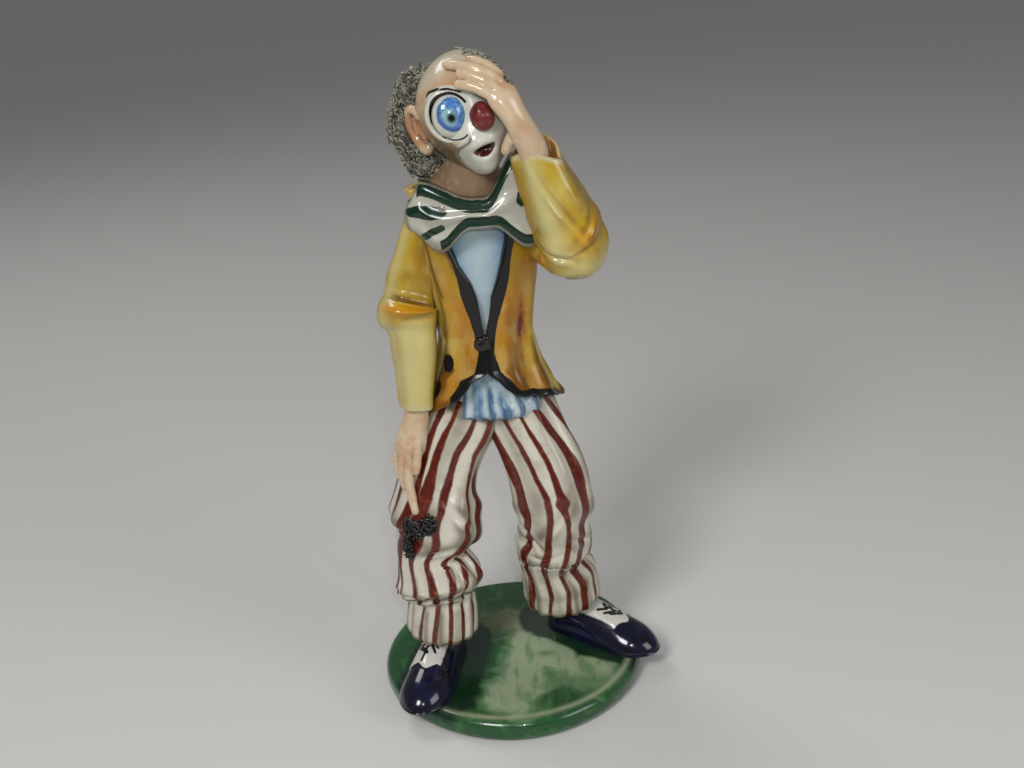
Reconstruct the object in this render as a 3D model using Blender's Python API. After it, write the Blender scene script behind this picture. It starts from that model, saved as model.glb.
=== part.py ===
"""A glazed ceramic clown figurine, fired in one piece with its green base.

The clown stands with one hand pressed to his forehead and the other arm hanging. He wears a bow,
a jacket closed by one button, a shirt, wide trousers gathered at the ankles and long shoes.
Lengths are in millimetres. The figure is modelled in its own frame, whose origin is the middle of
the base's top, with +Z up and the clown facing -Y.
"""

import math

import bmesh
import bpy
import numpy as np

MM = 0.001

# Driving dimensions
FIGURE_HEIGHT = 242.0
BASE_WIDTH = 106.0
BASE_DEPTH = 104.0
BASE_THICKNESS = 9.0
BASE_EDGE_ROUND = 3.6
BASE_FOOT_INSET = 2.5
BASE_DOME = 1.2

# The pose below is written for a figure of this height, and follows FIGURE_HEIGHT as shares of it.
POSE_HEIGHT = 242.0
SCALE = FIGURE_HEIGHT / POSE_HEIGHT
GRAIN = FIGURE_HEIGHT / 300
TRIANGLE_SHARE = 0.031
SOLE_SINK = 1.2
FLOOR_SPARE = 4.0

FRONT = np.array([0.0, -1.0, 0.0])
UP = np.array([0.0, 0.0, 1.0])

# Each row of a limb is x, y, z, half width, half depth, from its upper end down.
TORSO_ROWS = [
    (-0.5, -4.0, 197.0, 8.5, 8.5),
    (-0.5, -2.5, 189.0, 13.5, 10.0),
    (-1.0, -1.5, 181.0, 20.0, 11.5),
    (-1.0, -1.5, 168.0, 19.5, 12.5),
    (-1.0, -1.0, 154.0, 17.5, 12.0),
    (-1.0, -1.0, 140.0, 16.0, 11.5),
    (-1.0, -1.0, 127.0, 17.0, 12.0),
    (-1.0, -1.0, 117.0, 19.5, 13.5),
    (-0.5, -1.0, 110.5, 22.5, 15.0),
    (-0.5, -1.0, 107.5, 20.0, 13.0),
]
NECK_ROWS = [
    (0.5, -9.0, 212.0, 8.0, 8.5),
    (-0.5, -8.0, 205.0, 9.0, 8.5),
    (-1.5, -7.0, 199.5, 13.0, 9.5),
    (-2.0, -5.5, 194.0, 19.0, 10.5),
    (-1.5, -3.0, 187.0, 19.0, 11.0),
]
RIGHT_LEG_ROWS = [
    (-9.5, 0.0, 114.0, 13.0, 11.5),
    (-13.2, -1.0, 104.5, 14.4, 13.0),
    (-17.9, -2.5, 96.0, 14.0, 13.0),
    (-21.5, -4.0, 88.0, 13.8, 13.0),
    (-24.5, -6.0, 80.0, 15.0, 13.6),
    (-26.1, -8.0, 69.5, 17.7, 15.2),
    (-26.4, -8.5, 61.0, 16.4, 14.4),
    (-30.4, -8.5, 53.0, 12.3, 11.6),
    (-29.0, -8.5, 47.0, 14.4, 13.0),
    (-27.2, -8.8, 40.0, 17.2, 14.8),
    (-26.6, -9.0, 35.5, 16.0, 13.8),
    (-26.3, -9.0, 32.0, 12.8, 11.8),
    (-26.6, -9.5, 28.0, 13.4, 12.4),
    (-27.4, -10.0, 19.5, 13.8, 12.8),
    (-27.6, -10.0, 16.5, 13.0, 12.0),
]
LEFT_LEG_ROWS = [
    (7.5, 0.0, 114.0, 15.5, 12.5),
    (10.8, -1.0, 103.5, 13.6, 13.0),
    (14.1, -2.5, 94.5, 13.4, 13.0),
    (17.4, -4.5, 86.0, 14.2, 13.3),
    (19.4, -6.5, 77.0, 14.8, 14.0),
    (20.3, -7.0, 69.0, 14.7, 14.0),
    (20.2, -5.5, 60.5, 13.4, 13.0),
    (20.2, -3.5, 54.5, 13.9, 13.2),
    (19.3, -1.5, 49.0, 15.2, 14.2),
    (18.4, 0.0, 43.5, 14.2, 13.2),
    (18.6, 1.0, 38.5, 12.9, 12.0),
    (20.6, 3.0, 32.0, 15.0, 13.6),
    (21.4, 4.6, 27.0, 15.2, 13.8),
    (22.0, 5.8, 20.5, 15.6, 14.0),
    (22.2, 6.2, 17.0, 14.4, 12.8),
]
HANGING_SLEEVE_ROWS = [
    (-15.0, 0.5, 187.0, 7.0, 8.0),
    (-20.0, 0.0, 181.0, 7.4, 9.0),
    (-24.3, -2.0, 169.0, 7.8, 9.0),
    (-27.4, -4.0, 157.0, 9.6, 10.0),
    (-28.4, -5.0, 151.5, 10.6, 10.5),
    (-27.4, -6.0, 145.0, 9.4, 9.5),
    (-27.2, -8.0, 132.0, 8.0, 8.5),
    (-27.9, -10.0, 121.0, 7.0, 7.5),
    (-28.1, -10.5, 115.5, 6.7, 7.0),
]
RAISED_UPPER_ROWS = [
    (13.0, 0.0, 185.0, 8.0, 9.0),
    (20.0, -3.0, 180.0, 9.5, 10.0),
    (27.0, -9.0, 174.5, 10.5, 10.5),
    (33.0, -14.0, 172.5, 10.5, 10.0),
    (37.0, -16.5, 173.0, 7.0, 7.0),
]
RAISED_FOREARM_ROWS = [
    (21.0, -22.5, 210.0, 8.2, 7.8),
    (23.5, -22.0, 201.0, 9.2, 8.6),
    (28.0, -20.0, 188.0, 11.3, 10.0),
    (32.0, -17.0, 176.0, 12.5, 11.0),
    (33.5, -15.5, 167.5, 10.0, 9.5),
    (33.5, -15.0, 163.5, 5.0, 5.0),
]

# The head's own frame has its origin in the middle of the skull and the face towards -Y.
HEAD_CENTRE = (-0.3, -10.0, 222.0)
HEAD_RADII = (17.0, 18.0, 21.0)
HEAD_TILT = 11.0
HEAD_TURN = 9.0
EYE_PLACE = (-7.8, -13.6, 2.4)
EYE_RADII = (6.4, 4.8, 7.4)
NOSE_PLACE = (1.0, -19.8, 0.5)
NOSE_RADII = (4.1, 4.4, 4.9)
MOUTH_PLACE = (-0.3, -20.6, -10.5)
MOUTH_RADII = (3.4, 3.0, 1.7)
EAR_PLACE = (-16.6, 2.5, -1.0)
# Each mass of hair is its centre, its radii and how many curls cover it.
HAIR_MASSES = [
    ((-4.8, 11.5, -1.5), (22.0, 14.0, 18.0), 170),
    ((-13.0, 9.5, 8.0), (9.0, 8.5, 8.5), 44),
    ((-17.0, 9.5, -12.0), (7.5, 6.5, 7.0), 30),
    ((4.5, 5.0, 6.0), (6.5, 8.5, 9.5), 50),
]
CURL_RADIUS = 2.5
CURL_THICKNESS = 1.8

BOW_MIDDLE = (1.5, -23.5, 193.3)
BOW_REACH = 27.0
BOW_THICKNESS = 6.0
JACKET_TOP = 189.0
JACKET_THICKNESS = 1.8
JACKET_STANDOFF = 1.7
BUTTON_PLACE = (-2.0, -14.5, 139.5)

# Each lump of the tuft on the knee is its centre and its radii.
TUFT_LUMPS = [
    ((-28.2, -22.6, 71.5), (3.4, 2.6, 4.6)),
    ((-35.0, -20.6, 69.5), (3.2, 2.6, 4.6)),
    ((-36.4, -19.8, 61.5), (2.6, 2.4, 5.6)),
]
TUFT_STRANDS = 5

SHOE_LENGTH = 52.0
RIGHT_HEEL = (-24.8, 7.0, 0.0)
RIGHT_TOES_TOWARDS = (-0.27, -0.963)
LEFT_HEEL = (16.0, 16.0, 0.0)
LEFT_TOES_TOWARDS = (0.835, -0.55)


def smooth_rows(rows, count, ends=0.0):
    """Rows read from a Catmull-Rom curve through the given ones, closer at the ends by that share."""
    rows = np.asarray(rows, float)
    padded = np.vstack([2 * rows[0] - rows[1], rows, 2 * rows[-1] - rows[-2]])
    even = np.linspace(0, 1, count)
    eased = 0.5 - 0.5 * np.cos(np.pi * even)
    place = (even * (1 - ends) + eased * ends) * (len(rows) - 1)
    first = np.minimum(place.astype(int), len(rows) - 2)
    part = (place - first)[:, None]
    a, b, c, d = (padded[first + step] for step in range(4))
    cubic = (3 * b - a - 3 * c + d) * part**3
    return 0.5 * (2 * b + (c - a) * part + (2 * a - 5 * b + 4 * c - d) * part**2 + cubic)


def unit(vectors):
    return vectors / np.linalg.norm(vectors, axis=-1, keepdims=True)


def bump(distance, reach):
    """A soft hill that is 1 at no distance and fades over the reach."""
    return np.exp(-((distance / reach) ** 2))


def ramp(value, low, high):
    """0 below low, 1 above high and smooth between them."""
    share = np.clip((value - low) / (high - low), 0, 1)
    return share * share * (3 - 2 * share)


def skin(grid):
    """The closed skin over a grid of rings: its points and its faces."""
    rings, sides = grid.shape[:2]
    points = np.vstack([grid.reshape(-1, 3), grid[0].mean(0), grid[-1].mean(0)])
    first_pole, last_pole = rings * sides, rings * sides + 1
    faces = []
    for side in range(sides):
        beyond = (side + 1) % sides
        for ring in range(rings - 1):
            near, far = ring * sides, (ring + 1) * sides
            faces.append((near + side, near + beyond, far + beyond, far + side))
        faces.append((first_pole, beyond, side))
        last = (rings - 1) * sides
        faces.append((last_pole, last + side, last + beyond))
    return points, faces


def slab(outer, inner):
    """The closed skin of a sheet with thickness, between two open grids of the same shape."""
    rows, columns = outer.shape[:2]
    points = np.vstack([outer.reshape(-1, 3), inner.reshape(-1, 3)])
    under = rows * columns
    faces = []
    for row in range(rows - 1):
        for column in range(columns - 1):
            a = row * columns + column
            quad = (a, a + 1, a + columns + 1, a + columns)
            faces.append(quad)
            faces.append(tuple(under + corner for corner in reversed(quad)))
    rim = list(range(columns))
    rim += [row * columns + columns - 1 for row in range(1, rows)]
    rim += [(rows - 1) * columns + column for column in range(columns - 2, -1, -1)]
    rim += [row * columns for row in range(rows - 2, 0, -1)]
    for here, there in zip(rim, rim[1:] + rim[:1]):
        faces.append((there, here, under + here, under + there))
    return points, faces


def limb(rows, sides, rings, front=FRONT, fold=None, rounded=False, mouth=0.0, slant=None):
    """A closed skin round a path. fold(angle, share) adds to its radius, and mouth hollows its end.

    The angle is 0 in front and grows towards +X on a limb that runs downwards. slant(angle, share)
    moves the skin on along the path."""
    track = smooth_rows(rows, rings, ends=0.8 if rounded else 0.0)
    centres = track[:, :3]
    along = unit(np.gradient(centres, axis=0))
    ahead = unit(front - (along @ front)[:, None] * along)
    aside = np.cross(ahead, along)
    wide, deep = track[:, 3:4], track[:, 4:5]
    if rounded:
        steps = np.linalg.norm(np.diff(centres, axis=0), axis=1)
        run = np.concatenate([[0], np.cumsum(steps)])
        to_end = np.minimum(run, run[-1] - run)[:, None]
        closing = np.clip(1 - to_end / wide, 0, 0.995)
        wide, deep = wide * np.sqrt(1 - closing**2), deep * np.sqrt(1 - closing**2)
    angle = np.linspace(0, 2 * math.pi, sides, endpoint=False)[None, :]
    share = np.linspace(0, 1, rings)[:, None]
    grown = 0 if fold is None else fold(angle, share)
    forward = ((deep + grown) * np.cos(angle))[..., None]
    sideways = ((wide + grown) * np.sin(angle))[..., None]
    grid = centres[:, None] + forward * ahead[:, None] + sideways * aside[:, None]
    if slant is not None:
        grid = grid + slant(angle, share)[..., None] * along[:, None]
    if mouth:
        lip = centres[-1] + (grid[-1] - centres[-1]) * 0.78
        floor = centres[-1] - along[-1] * mouth + (grid[-1] - centres[-1]) * 0.70
        grid = np.vstack([grid, lip[None], floor[None]])
    return skin(grid)


def ball(centre, radii, sides=24, rings=14):
    """An ellipsoid."""
    turn = np.linspace(0, 2 * math.pi, sides, endpoint=False)[None, :, None]
    fall = np.linspace(0.06, math.pi - 0.06, rings)[:, None, None]
    x, y, z = np.sin(fall) * np.sin(turn), -np.sin(fall) * np.cos(turn), np.cos(fall) + 0 * turn
    return skin(np.asarray(centre) + np.concatenate([x, y, z], axis=2) * np.asarray(radii))


def flutes(count, depth, twist=0.0, start=0.0):
    """Long folds round a limb, which may turn as they run."""

    def fold(angle, share):
        wave = np.cos(count * angle + start + twist * share)
        side_wave = np.cos((count - 2) * angle - 1.7 * start + 2.3 + 3 * share)
        return depth * (0.65 * wave + 0.35 * side_wave)

    return fold


def trouser_fold(start, gathers):
    """Broad drapery down the leg, with creases at the knee, tight gathers and a ruffled cuff."""
    drapery = flutes(7, 1.35, twist=1.6, start=start)

    def fold(angle, share):
        gathered = ramp(share, 0.60, 0.74)
        ruffle = np.cos(gathers * angle + start) + 0.4 * np.cos((gathers + 5) * angle + 3 * start)
        sag = 46 * share + 1.6 * np.sin(angle + start) + 1.1 * np.sin(2 * angle + start)
        creases = np.sin(sag) * bump(share - 0.52, 0.11)
        return (1 - gathered) * drapery(angle, share) + 0.7 * gathered * ruffle + 1.0 * creases

    return fold


def sleeve_fold(elbow, start):
    """Loose cloth with a few cross creases packed together at the elbow."""
    drapery = flutes(5, 0.8, twist=2.5, start=start)

    def fold(angle, share):
        packed = bump(share - elbow, 0.16)
        creases = np.sin(30 * (share - elbow) + 1.2 * np.cos(angle))
        return drapery(angle, share) + 1.2 * packed * creases

    return fold


def cuff_slant(angle, share):
    """The raised sleeve's mouth, which falls away from the face and has a point behind."""
    rise = 2.8 * np.sin(angle) - 2.5 * np.cos(angle)
    rise = rise + 2.3 * np.cos(2 * angle) + 1.0 * np.sin(2 * angle)
    return ramp(share, 0.65, 1.0) * rise


def shirt_frill(angle, share):
    """The shirt's gathered lower edge."""
    return 0.9 * np.cos(22 * angle) * ramp(share, 0.84, 0.93)


def turned(points, tilt, turn, centre):
    """Points of a part's own frame, turned about Z, then tilted about Y, then put in their place."""
    yaw, lean = math.radians(turn), math.radians(-tilt)
    spin = np.array([[math.cos(yaw), -math.sin(yaw), 0], [math.sin(yaw), math.cos(yaw), 0], [0, 0, 1]])
    tip = np.array([[math.cos(lean), 0, math.sin(lean)], [0, 1, 0], [-math.sin(lean), 0, math.cos(lean)]])
    return np.asarray(points) @ (tip @ spin).T + np.asarray(centre)


def skull(sides=48, rings=36):
    """The bald head with its brow, cheeks, muzzle, jaw and the hollows of the eyes and the mouth."""
    turn = np.linspace(0, 2 * math.pi, sides, endpoint=False)[None, :]
    fall = np.linspace(0.05, math.pi - 0.05, rings)[:, None]
    x, y, z = np.sin(fall) * np.sin(turn), -np.sin(fall) * np.cos(turn), np.cos(fall) + 0 * turn
    wide, deep, tall = HEAD_RADII
    point = np.stack([x * wide, y * deep, z * tall], axis=2)
    facing = ramp(-y, 0.0, 0.6)
    point[..., 0] *= 1 - 0.42 * ramp(-z, -0.1, 1.0) * (0.4 + 0.6 * facing)
    point[..., 0] *= 1 + 0.07 * bump(z - 0.55, 0.4)
    point[..., 1] += 5.0 * ramp(-z, 0.2, 0.9) * ramp(y, -0.2, 0.5)
    point[..., 0] *= 1 - 0.10 * ramp(z, -0.1, 0.4) * ramp(x, 0.0, 0.3)
    point[..., 2] -= 1.6 * ramp(-z, 0.6, 1.0) * facing

    def hill(place, reach, height):
        near = np.linalg.norm(point - np.asarray(place), axis=2)
        return height * bump(near, reach)

    forward = hill((-0.8, -15, -10.5), 8.0, 5.0) + hill((-1.2, -11, -18.5), 5.5, 4.6)
    forward += hill((-8.5, -13, -4.5), 4.5, 1.2) + hill((7.5, -14, -5), 4.5, 1.2)
    forward += hill((-8.5, -13, 11.5), 5.0, 1.4) + hill((7, -14, 11.5), 5.0, 1.2)
    forward -= hill((-8.0, -15, 3.3), 6.0, 1.8) + hill((8.0, -15, 3.0), 5.5, 1.6)
    point[..., 1] -= forward
    mouth = np.asarray(MOUTH_PLACE)
    across = (point[..., 0] - mouth[0]) / MOUTH_RADII[0]
    upright = (point[..., 2] - mouth[2] - 0.25 * across) / MOUTH_RADII[2]
    point[..., 1] += 2.8 * np.exp(-(across**2) - upright**2) * facing
    return skin(point)


def ear():
    """A large ear, tipped back, with a thick rolled rim round a shallow hollow."""
    x, y, z = EAR_PLACE
    rim = [
        (x + 0.5, y - 3.5, z + 3.0, 1.4, 1.4),
        (x - 1.2, y - 1.0, z + 6.6, 1.6, 1.6),
        (x - 3.0, y + 2.3, z + 6.1, 1.7, 1.7),
        (x - 3.6, y + 3.7, z + 1.0, 1.8, 1.8),
        (x - 2.4, y + 2.3, z - 4.0, 1.9, 1.9),
        (x - 0.6, y - 1.0, z - 7.3, 2.1, 2.1),
        (x + 0.8, y - 3.0, z - 5.6, 1.4, 1.4),
    ]
    plate = [
        (x - 0.8, y + 1.8, z + 5.6, 2.8, 1.2),
        (x - 0.8, y + 1.8, z - 1.0, 4.2, 1.4),
        (x - 0.0, y + 0.2, z - 6.4, 2.0, 1.2),
    ]
    facing = unit(np.array([-1.0, -0.55, 0.0]))
    return [
        limb(rim, 12, 30, front=np.array([-1.0, 0.0, 0.0]), rounded=True),
        limb(plate, 14, 14, front=facing, rounded=True),
    ]


def bald(place):
    """Whether a place is inside the skull or in front of the hairline, which runs behind the ear."""
    start = -3.0 if place[0] > 2.0 else 0.5 if place[0] < -20.5 else 4.5
    before_the_hairline = place[1] < start + 0.25 * max(place[2], 0.0) * (place[0] < 2.0)
    return before_the_hairline or np.linalg.norm(place / HEAD_RADII) < 1.02


def hair():
    """The masses of hair, covered in small curls that are spread by the golden angle."""
    shells = []
    golden = math.pi * (3 - math.sqrt(5))
    for centre, radii, count in HAIR_MASSES:
        shells.append(ball(centre, np.asarray(radii) - CURL_RADIUS))
        for index in range(count):
            height = 1 - 2 * (index + 0.5) / count
            turn = index * golden
            level = math.sqrt(1 - height * height)
            outward = np.array([level * math.sin(turn), -level * math.cos(turn), height])
            place = np.asarray(centre) + outward * radii
            if bald(place):
                continue
            first = unit(np.cross(outward, UP + 0.01))
            second = np.cross(outward, first)
            start = 2.4 * index
            points = []
            for bend in np.linspace(0, 4.4, 6):
                ring = math.cos(start + bend) * first + math.sin(start + bend) * second
                points.append(place + CURL_RADIUS * ring + outward * (0.25 * bend - 0.6))
            rows = [(*point, CURL_THICKNESS, CURL_THICKNESS) for point in points]
            shells.append(limb(rows, 8, 14, front=outward, rounded=True))
    return shells


def head():
    """The skull with its eye, nose, ear and hair, turned and tilted into place."""
    shells = [skull(), ball(EYE_PLACE, EYE_RADII), ball(NOSE_PLACE, NOSE_RADII)] + ear() + hair()
    return [(turned(points, HEAD_TILT, HEAD_TURN, HEAD_CENTRE), faces) for points, faces in shells]


def finger(points, radius):
    """A long finger that thins a little to its tip."""
    shares = np.linspace(1.12, 0.82, len(points))
    rows = [(*point, radius * share, radius * share) for point, share in zip(points, shares)]
    return limb(rows, 12, 16, rounded=True)


def hanging_hand():
    """The limp hand, whose longest finger points down to the tuft on the knee."""
    palm = [
        (-28.4, -10.5, 121.0, 4.4, 4.0),
        (-29.2, -11.0, 112.0, 4.8, 4.0),
        (-31.4, -12.0, 104.0, 5.8, 3.8),
        (-32.9, -12.5, 98.0, 5.8, 3.5),
        (-33.4, -12.8, 94.0, 5.2, 3.0),
    ]
    return [
        limb(palm, 20, 18, rounded=True),
        finger([(-36.6, -10.5, 101), (-38.6, -10.5, 94), (-38.0, -11.5, 86)], 1.7),
        finger([(-34.6, -12.5, 99), (-36.4, -14.0, 91), (-35.8, -15.2, 83)], 1.8),
        finger([(-32.6, -13.5, 98), (-34.0, -16.0, 90), (-33.4, -18.8, 82), (-32.2, -22.0, 75.5)], 1.9),
        finger([(-29.6, -13.5, 104), (-30.0, -16.0, 97), (-31.2, -17.6, 90)], 1.8),
    ]


def raised_hand():
    """The hand laid over the forehead and one eye, its fingers side by side across the brow."""
    palm = [
        (8.6, -29.0, 233.0, 5.4, 2.8),
        (11.6, -30.5, 228.5, 5.4, 3.2),
        (14.6, -30.5, 223.0, 4.6, 3.4),
        (17.2, -29.0, 217.5, 4.8, 3.8),
        (19.8, -26.5, 211.5, 5.2, 4.2),
        (21.5, -24.0, 204.0, 4.8, 4.2),
    ]
    over = unit(np.array([0.35, -0.9, 0.25]))
    return [
        limb(palm, 20, 20, front=over, rounded=True),
        finger([(11.0, -31.0, 226.5), (8.4, -31.2, 229.3), (2.5, -29.8, 232.6), (-4.1, -26.6, 233.6)], 2.0),
        finger([(11.5, -30.0, 229.5), (8.8, -30.2, 232.4), (2.8, -28.4, 235.6), (-3.4, -24.9, 236.8)], 2.0),
        finger([(11.5, -28.5, 232.0), (8.6, -28.2, 235.2), (1.0, -25.8, 238.6), (-7.6, -20.6, 239.6)], 2.0),
        finger([(11.5, -26.5, 234.0), (9.0, -26.0, 237.0), (5.0, -24.0, 239.6), (0.2, -20.3, 240.7)], 1.8),
        finger([(15.5, -28.0, 218.0), (12.5, -27.0, 214.0), (10.5, -25.5, 209.5)], 2.0),
    ]


def torso_at(angle, height, beyond):
    """The point of the torso's girth at an angle and a height, a stated way beyond the shirt."""
    rows = np.asarray(TORSO_ROWS, float)[::-1]
    x, y, wide, deep = (np.interp(height, rows[:, 2], rows[:, column]) for column in (0, 1, 3, 4))
    return np.stack(
        [x + (wide + beyond) * np.sin(angle), y - (deep + beyond) * np.cos(angle), height + 0 * angle],
        axis=-1,
    )


def jacket(columns=96, rows=40):
    """An open jacket: cut away below its one button, with a tail behind and a flared hem."""
    heights = [JACKET_TOP, 176.0, 169.5, 163.0, 157.0, 150.5, 144.0, 140.0, 129.0, 126.0, 123.0, 120.0]
    left_edge = np.radians([30.0, 26.5, 22.0, 16.5, 10.0, 7.0, 2.0, 0.5, 0.5, 9.5, 15.0, 22.0])
    right_edge = np.radians([-34, -27, -21, -10.5, -5.5, -3.5, -1.5, -0.5, -0.5, -16, -20, -27])
    around = np.linspace(0, 1, columns)[None, :]
    down = np.linspace(0, 1, rows)[:, None]
    hem_places = [0.0, 0.10, 0.22, 0.36, 0.5, 0.72, 0.84, 0.93, 1.0]
    hem = np.interp(around, hem_places, [120.0, 118.0, 114.5, 110.0, 106.0, 108.5, 110.0, 114.5, 119.5])
    height = JACKET_TOP + (hem - JACKET_TOP) * down
    start = np.interp(height, heights[::-1], left_edge[::-1])
    end = 2 * math.pi + np.interp(height, heights[::-1], right_edge[::-1])
    angle = start + (end - start) * around
    flare = 3.6 * ramp(down, 0.62, 1.0) + 1.2 * bump(down - 0.05, 0.12)
    pleats = 1.0 * np.cos(9 * angle + 1.0 + 1.2 * down) * ramp(down, 0.25, 0.9)
    pleats += 0.5 * np.cos(5 * angle - 3 * down) * ramp(down, 0.1, 0.4)
    edge = np.minimum(around, 1 - around)
    lapel = 0.9 * bump(edge, 0.035)
    beyond = JACKET_STANDOFF + flare + pleats * ramp(edge, 0.0, 0.06) + lapel
    lining = beyond - JACKET_THICKNESS - 1.2 * (1 - down)
    return slab(torso_at(angle, height, beyond), torso_at(angle, height, lining))


def collar(columns=64, rows=10):
    """The jacket's collar, which stands up round the back of the neck from one wing of the bow."""
    angle = np.radians(np.linspace(68, 292, columns))[None, :]
    up = np.linspace(0, 1, rows)[:, None]
    reach = 17.0 + 7.0 * up**0.8 + 0.5 * np.cos(7 * angle) * up
    height = 183.0 + 13.5 * up + 1.5 * up * np.cos(2 * angle)
    x, y = -1.0 + reach * 1.05 * np.sin(angle), 0.0 - reach * 0.62 * np.cos(angle)
    outer = np.stack([x, y, height], axis=-1)
    inward = np.stack([0.14 * (-1.0 - x), 0.14 * (0.0 - y), 0 * height + 0.6], axis=-1)
    return slab(outer, outer + inward)


def bow(columns=64, rows=22):
    """The big floppy bow, pinched in its middle, with a strap that goes round behind the neck."""
    across = np.linspace(-1, 1, columns)[None, :]
    high = np.linspace(1, -1, rows)[:, None]
    outward = np.abs(across)
    x_middle, y_middle, z_middle = BOW_MIDDLE
    top = 0.9 + 6.4 * ramp(-across, 0.1, 0.85) + 14.0 * ramp(across, 0.05, 0.48)
    top = top - 9.0 * ramp(outward, 0.72, 1.0)
    low = -9.6 - 8.2 * ramp(outward, 0.15, 0.6) + 8.5 * ramp(outward, 0.55, 1.0)
    z = z_middle + low + (top - low) * (high + 1) / 2
    x = x_middle + BOW_REACH * across * (1 - 0.05 * high**2) + 0 * z
    spread = ramp(outward, 0.05, 0.55)
    pleat = 1.5 * np.cos(2.7 * math.pi * high + 1.1 * across) * (0.35 + 0.65 * spread)
    y = y_middle + 6.5 * outward**1.8 - pleat + 2.2 * high**2
    outer = np.stack([x, y + 0 * z, z], axis=-1)
    return [slab(outer, outer + (0, BOW_THICKNESS, 0)), bow_backing(), bow_strap()]


def bow_backing():
    """The roll of cloth under the middle of the bow, which joins it to the chest."""
    x_middle, y_middle, z_middle = BOW_MIDDLE
    rows = [
        (x_middle - 17.0, y_middle + 9.0, z_middle - 1.0, 7.0, 4.0),
        (x_middle, y_middle + 7.0, z_middle + 0.5, 4.2, 5.0),
        (x_middle + 17.0, y_middle + 9.0, z_middle + 2.0, 7.0, 4.0),
    ]
    return limb(rows, 20, 20, front=UP, rounded=True)


def bow_strap():
    """The band of the bow, from one wing to the other round the back of the neck."""
    rows = []
    for turn in np.radians(np.linspace(38, 322, 15)):
        rows.append((-0.5 + 14.5 * math.sin(turn), -4.0 - 17.0 * math.cos(turn), 194.5, 2.6, 3.4))
    return limb(rows, 12, 40, front=UP)


def shoe_direction(towards):
    direction = np.array([*towards, 0.0])
    return direction / np.linalg.norm(direction)


def shoe(heel, towards):
    """A long round-toed shoe with a flat sole."""
    profile = [
        (0.0, 5.6, 9.0),
        (0.14, 8.0, 14.0),
        (0.36, 8.4, 17.0),
        (0.56, 9.4, 14.4),
        (0.78, 10.6, 10.8),
        (1.0, 6.8, 6.8),
    ]
    rows = []
    for share, half_width, tall in profile:
        middle = np.asarray(heel) + shoe_direction(towards) * SHOE_LENGTH * share
        rows.append((*middle, half_width, tall))
    points, faces = limb(rows, 28, 30, front=UP, rounded=True)
    points[:, 2] = np.where(points[:, 2] > 2.0, points[:, 2], 2.0 + (points[:, 2] - 2.0) * 0.22)
    points[:, 2] -= SOLE_SINK
    return points, faces


def tongue(heel, towards):
    """The pale flap that covers the instep, with its lower edge cut square."""
    rows = []
    profile = [(0.30, 7.2, 17.6), (0.45, 7.6, 16.9), (0.60, 7.6, 14.2), (0.67, 6.6, 12.8)]
    for share, half_width, tall in profile:
        middle = np.asarray(heel) + shoe_direction(towards) * SHOE_LENGTH * share
        rows.append((middle[0], middle[1], middle[2] + tall - 4.5, half_width, 4.4))
    return limb(rows, 20, 14, front=UP)


def knee_tuft():
    """A dark tuft of clay strands in three lumps, against the knee under the longest finger."""
    shells = []
    for centre, radii in TUFT_LUMPS:
        shells.append(ball(centre, radii, sides=16, rings=10))
        for turn in np.linspace(0, 2 * math.pi, TUFT_STRANDS, endpoint=False):
            points = []
            for height in (0.9, 0.3, -0.3, -0.9):
                level = 0.75 * math.sqrt(1 - height * height)
                across = level * math.sin(turn + 2 * height)
                ahead = -0.5 - 0.5 * level * math.cos(turn + 2 * height)
                points.append(np.asarray(centre) + np.array([across, ahead, height]) * radii)
            shells.append(finger(points, 1.0))
    return shells


def button():
    """The knot of the jacket's one button."""
    return ball(BUTTON_PLACE, (3.2, 2.4, 3.6), sides=16, rings=10)


def base():
    """The base: a low round cake with a rounded upper edge and a slightly domed top."""
    top = BASE_THICKNESS
    rounding = [math.radians(angle) for angle in (0, 22, 45, 67, 90)]
    profile = [
        (-BASE_FOOT_INSET, -FLOOR_SPARE),
        (-BASE_FOOT_INSET, 0.0),
        (-0.4, 1.6),
        (0.0, top - BASE_EDGE_ROUND),
    ]
    profile += [
        (-BASE_EDGE_ROUND * (1 - math.cos(angle)), top - BASE_EDGE_ROUND * (1 - math.sin(angle)))
        for angle in rounding[1:]
    ]
    turn = np.linspace(0, 2 * math.pi, 72, endpoint=False)
    wobble = 1 + 0.008 * np.sin(3 * turn + 0.6) + 0.006 * np.cos(5 * turn)
    outline = np.stack([np.sin(turn) * BASE_WIDTH / 2, -np.cos(turn) * BASE_DEPTH / 2], axis=1)
    outline = outline * wobble[:, None]
    rings = []
    for inset, height in profile:
        shrink = 1 + 2 * inset / BASE_WIDTH
        rings.append(np.column_stack([outline * shrink, np.full(len(turn), height)]))
    rim = 1 - 2 * BASE_EDGE_ROUND / BASE_WIDTH
    for share in (0.9, 0.7, 0.45, 0.2):
        height = top + BASE_DOME * (1 - share**2)
        rings.append(np.column_stack([outline * rim * share, np.full(len(turn), height)]))
    return skin(np.stack(rings))


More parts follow.
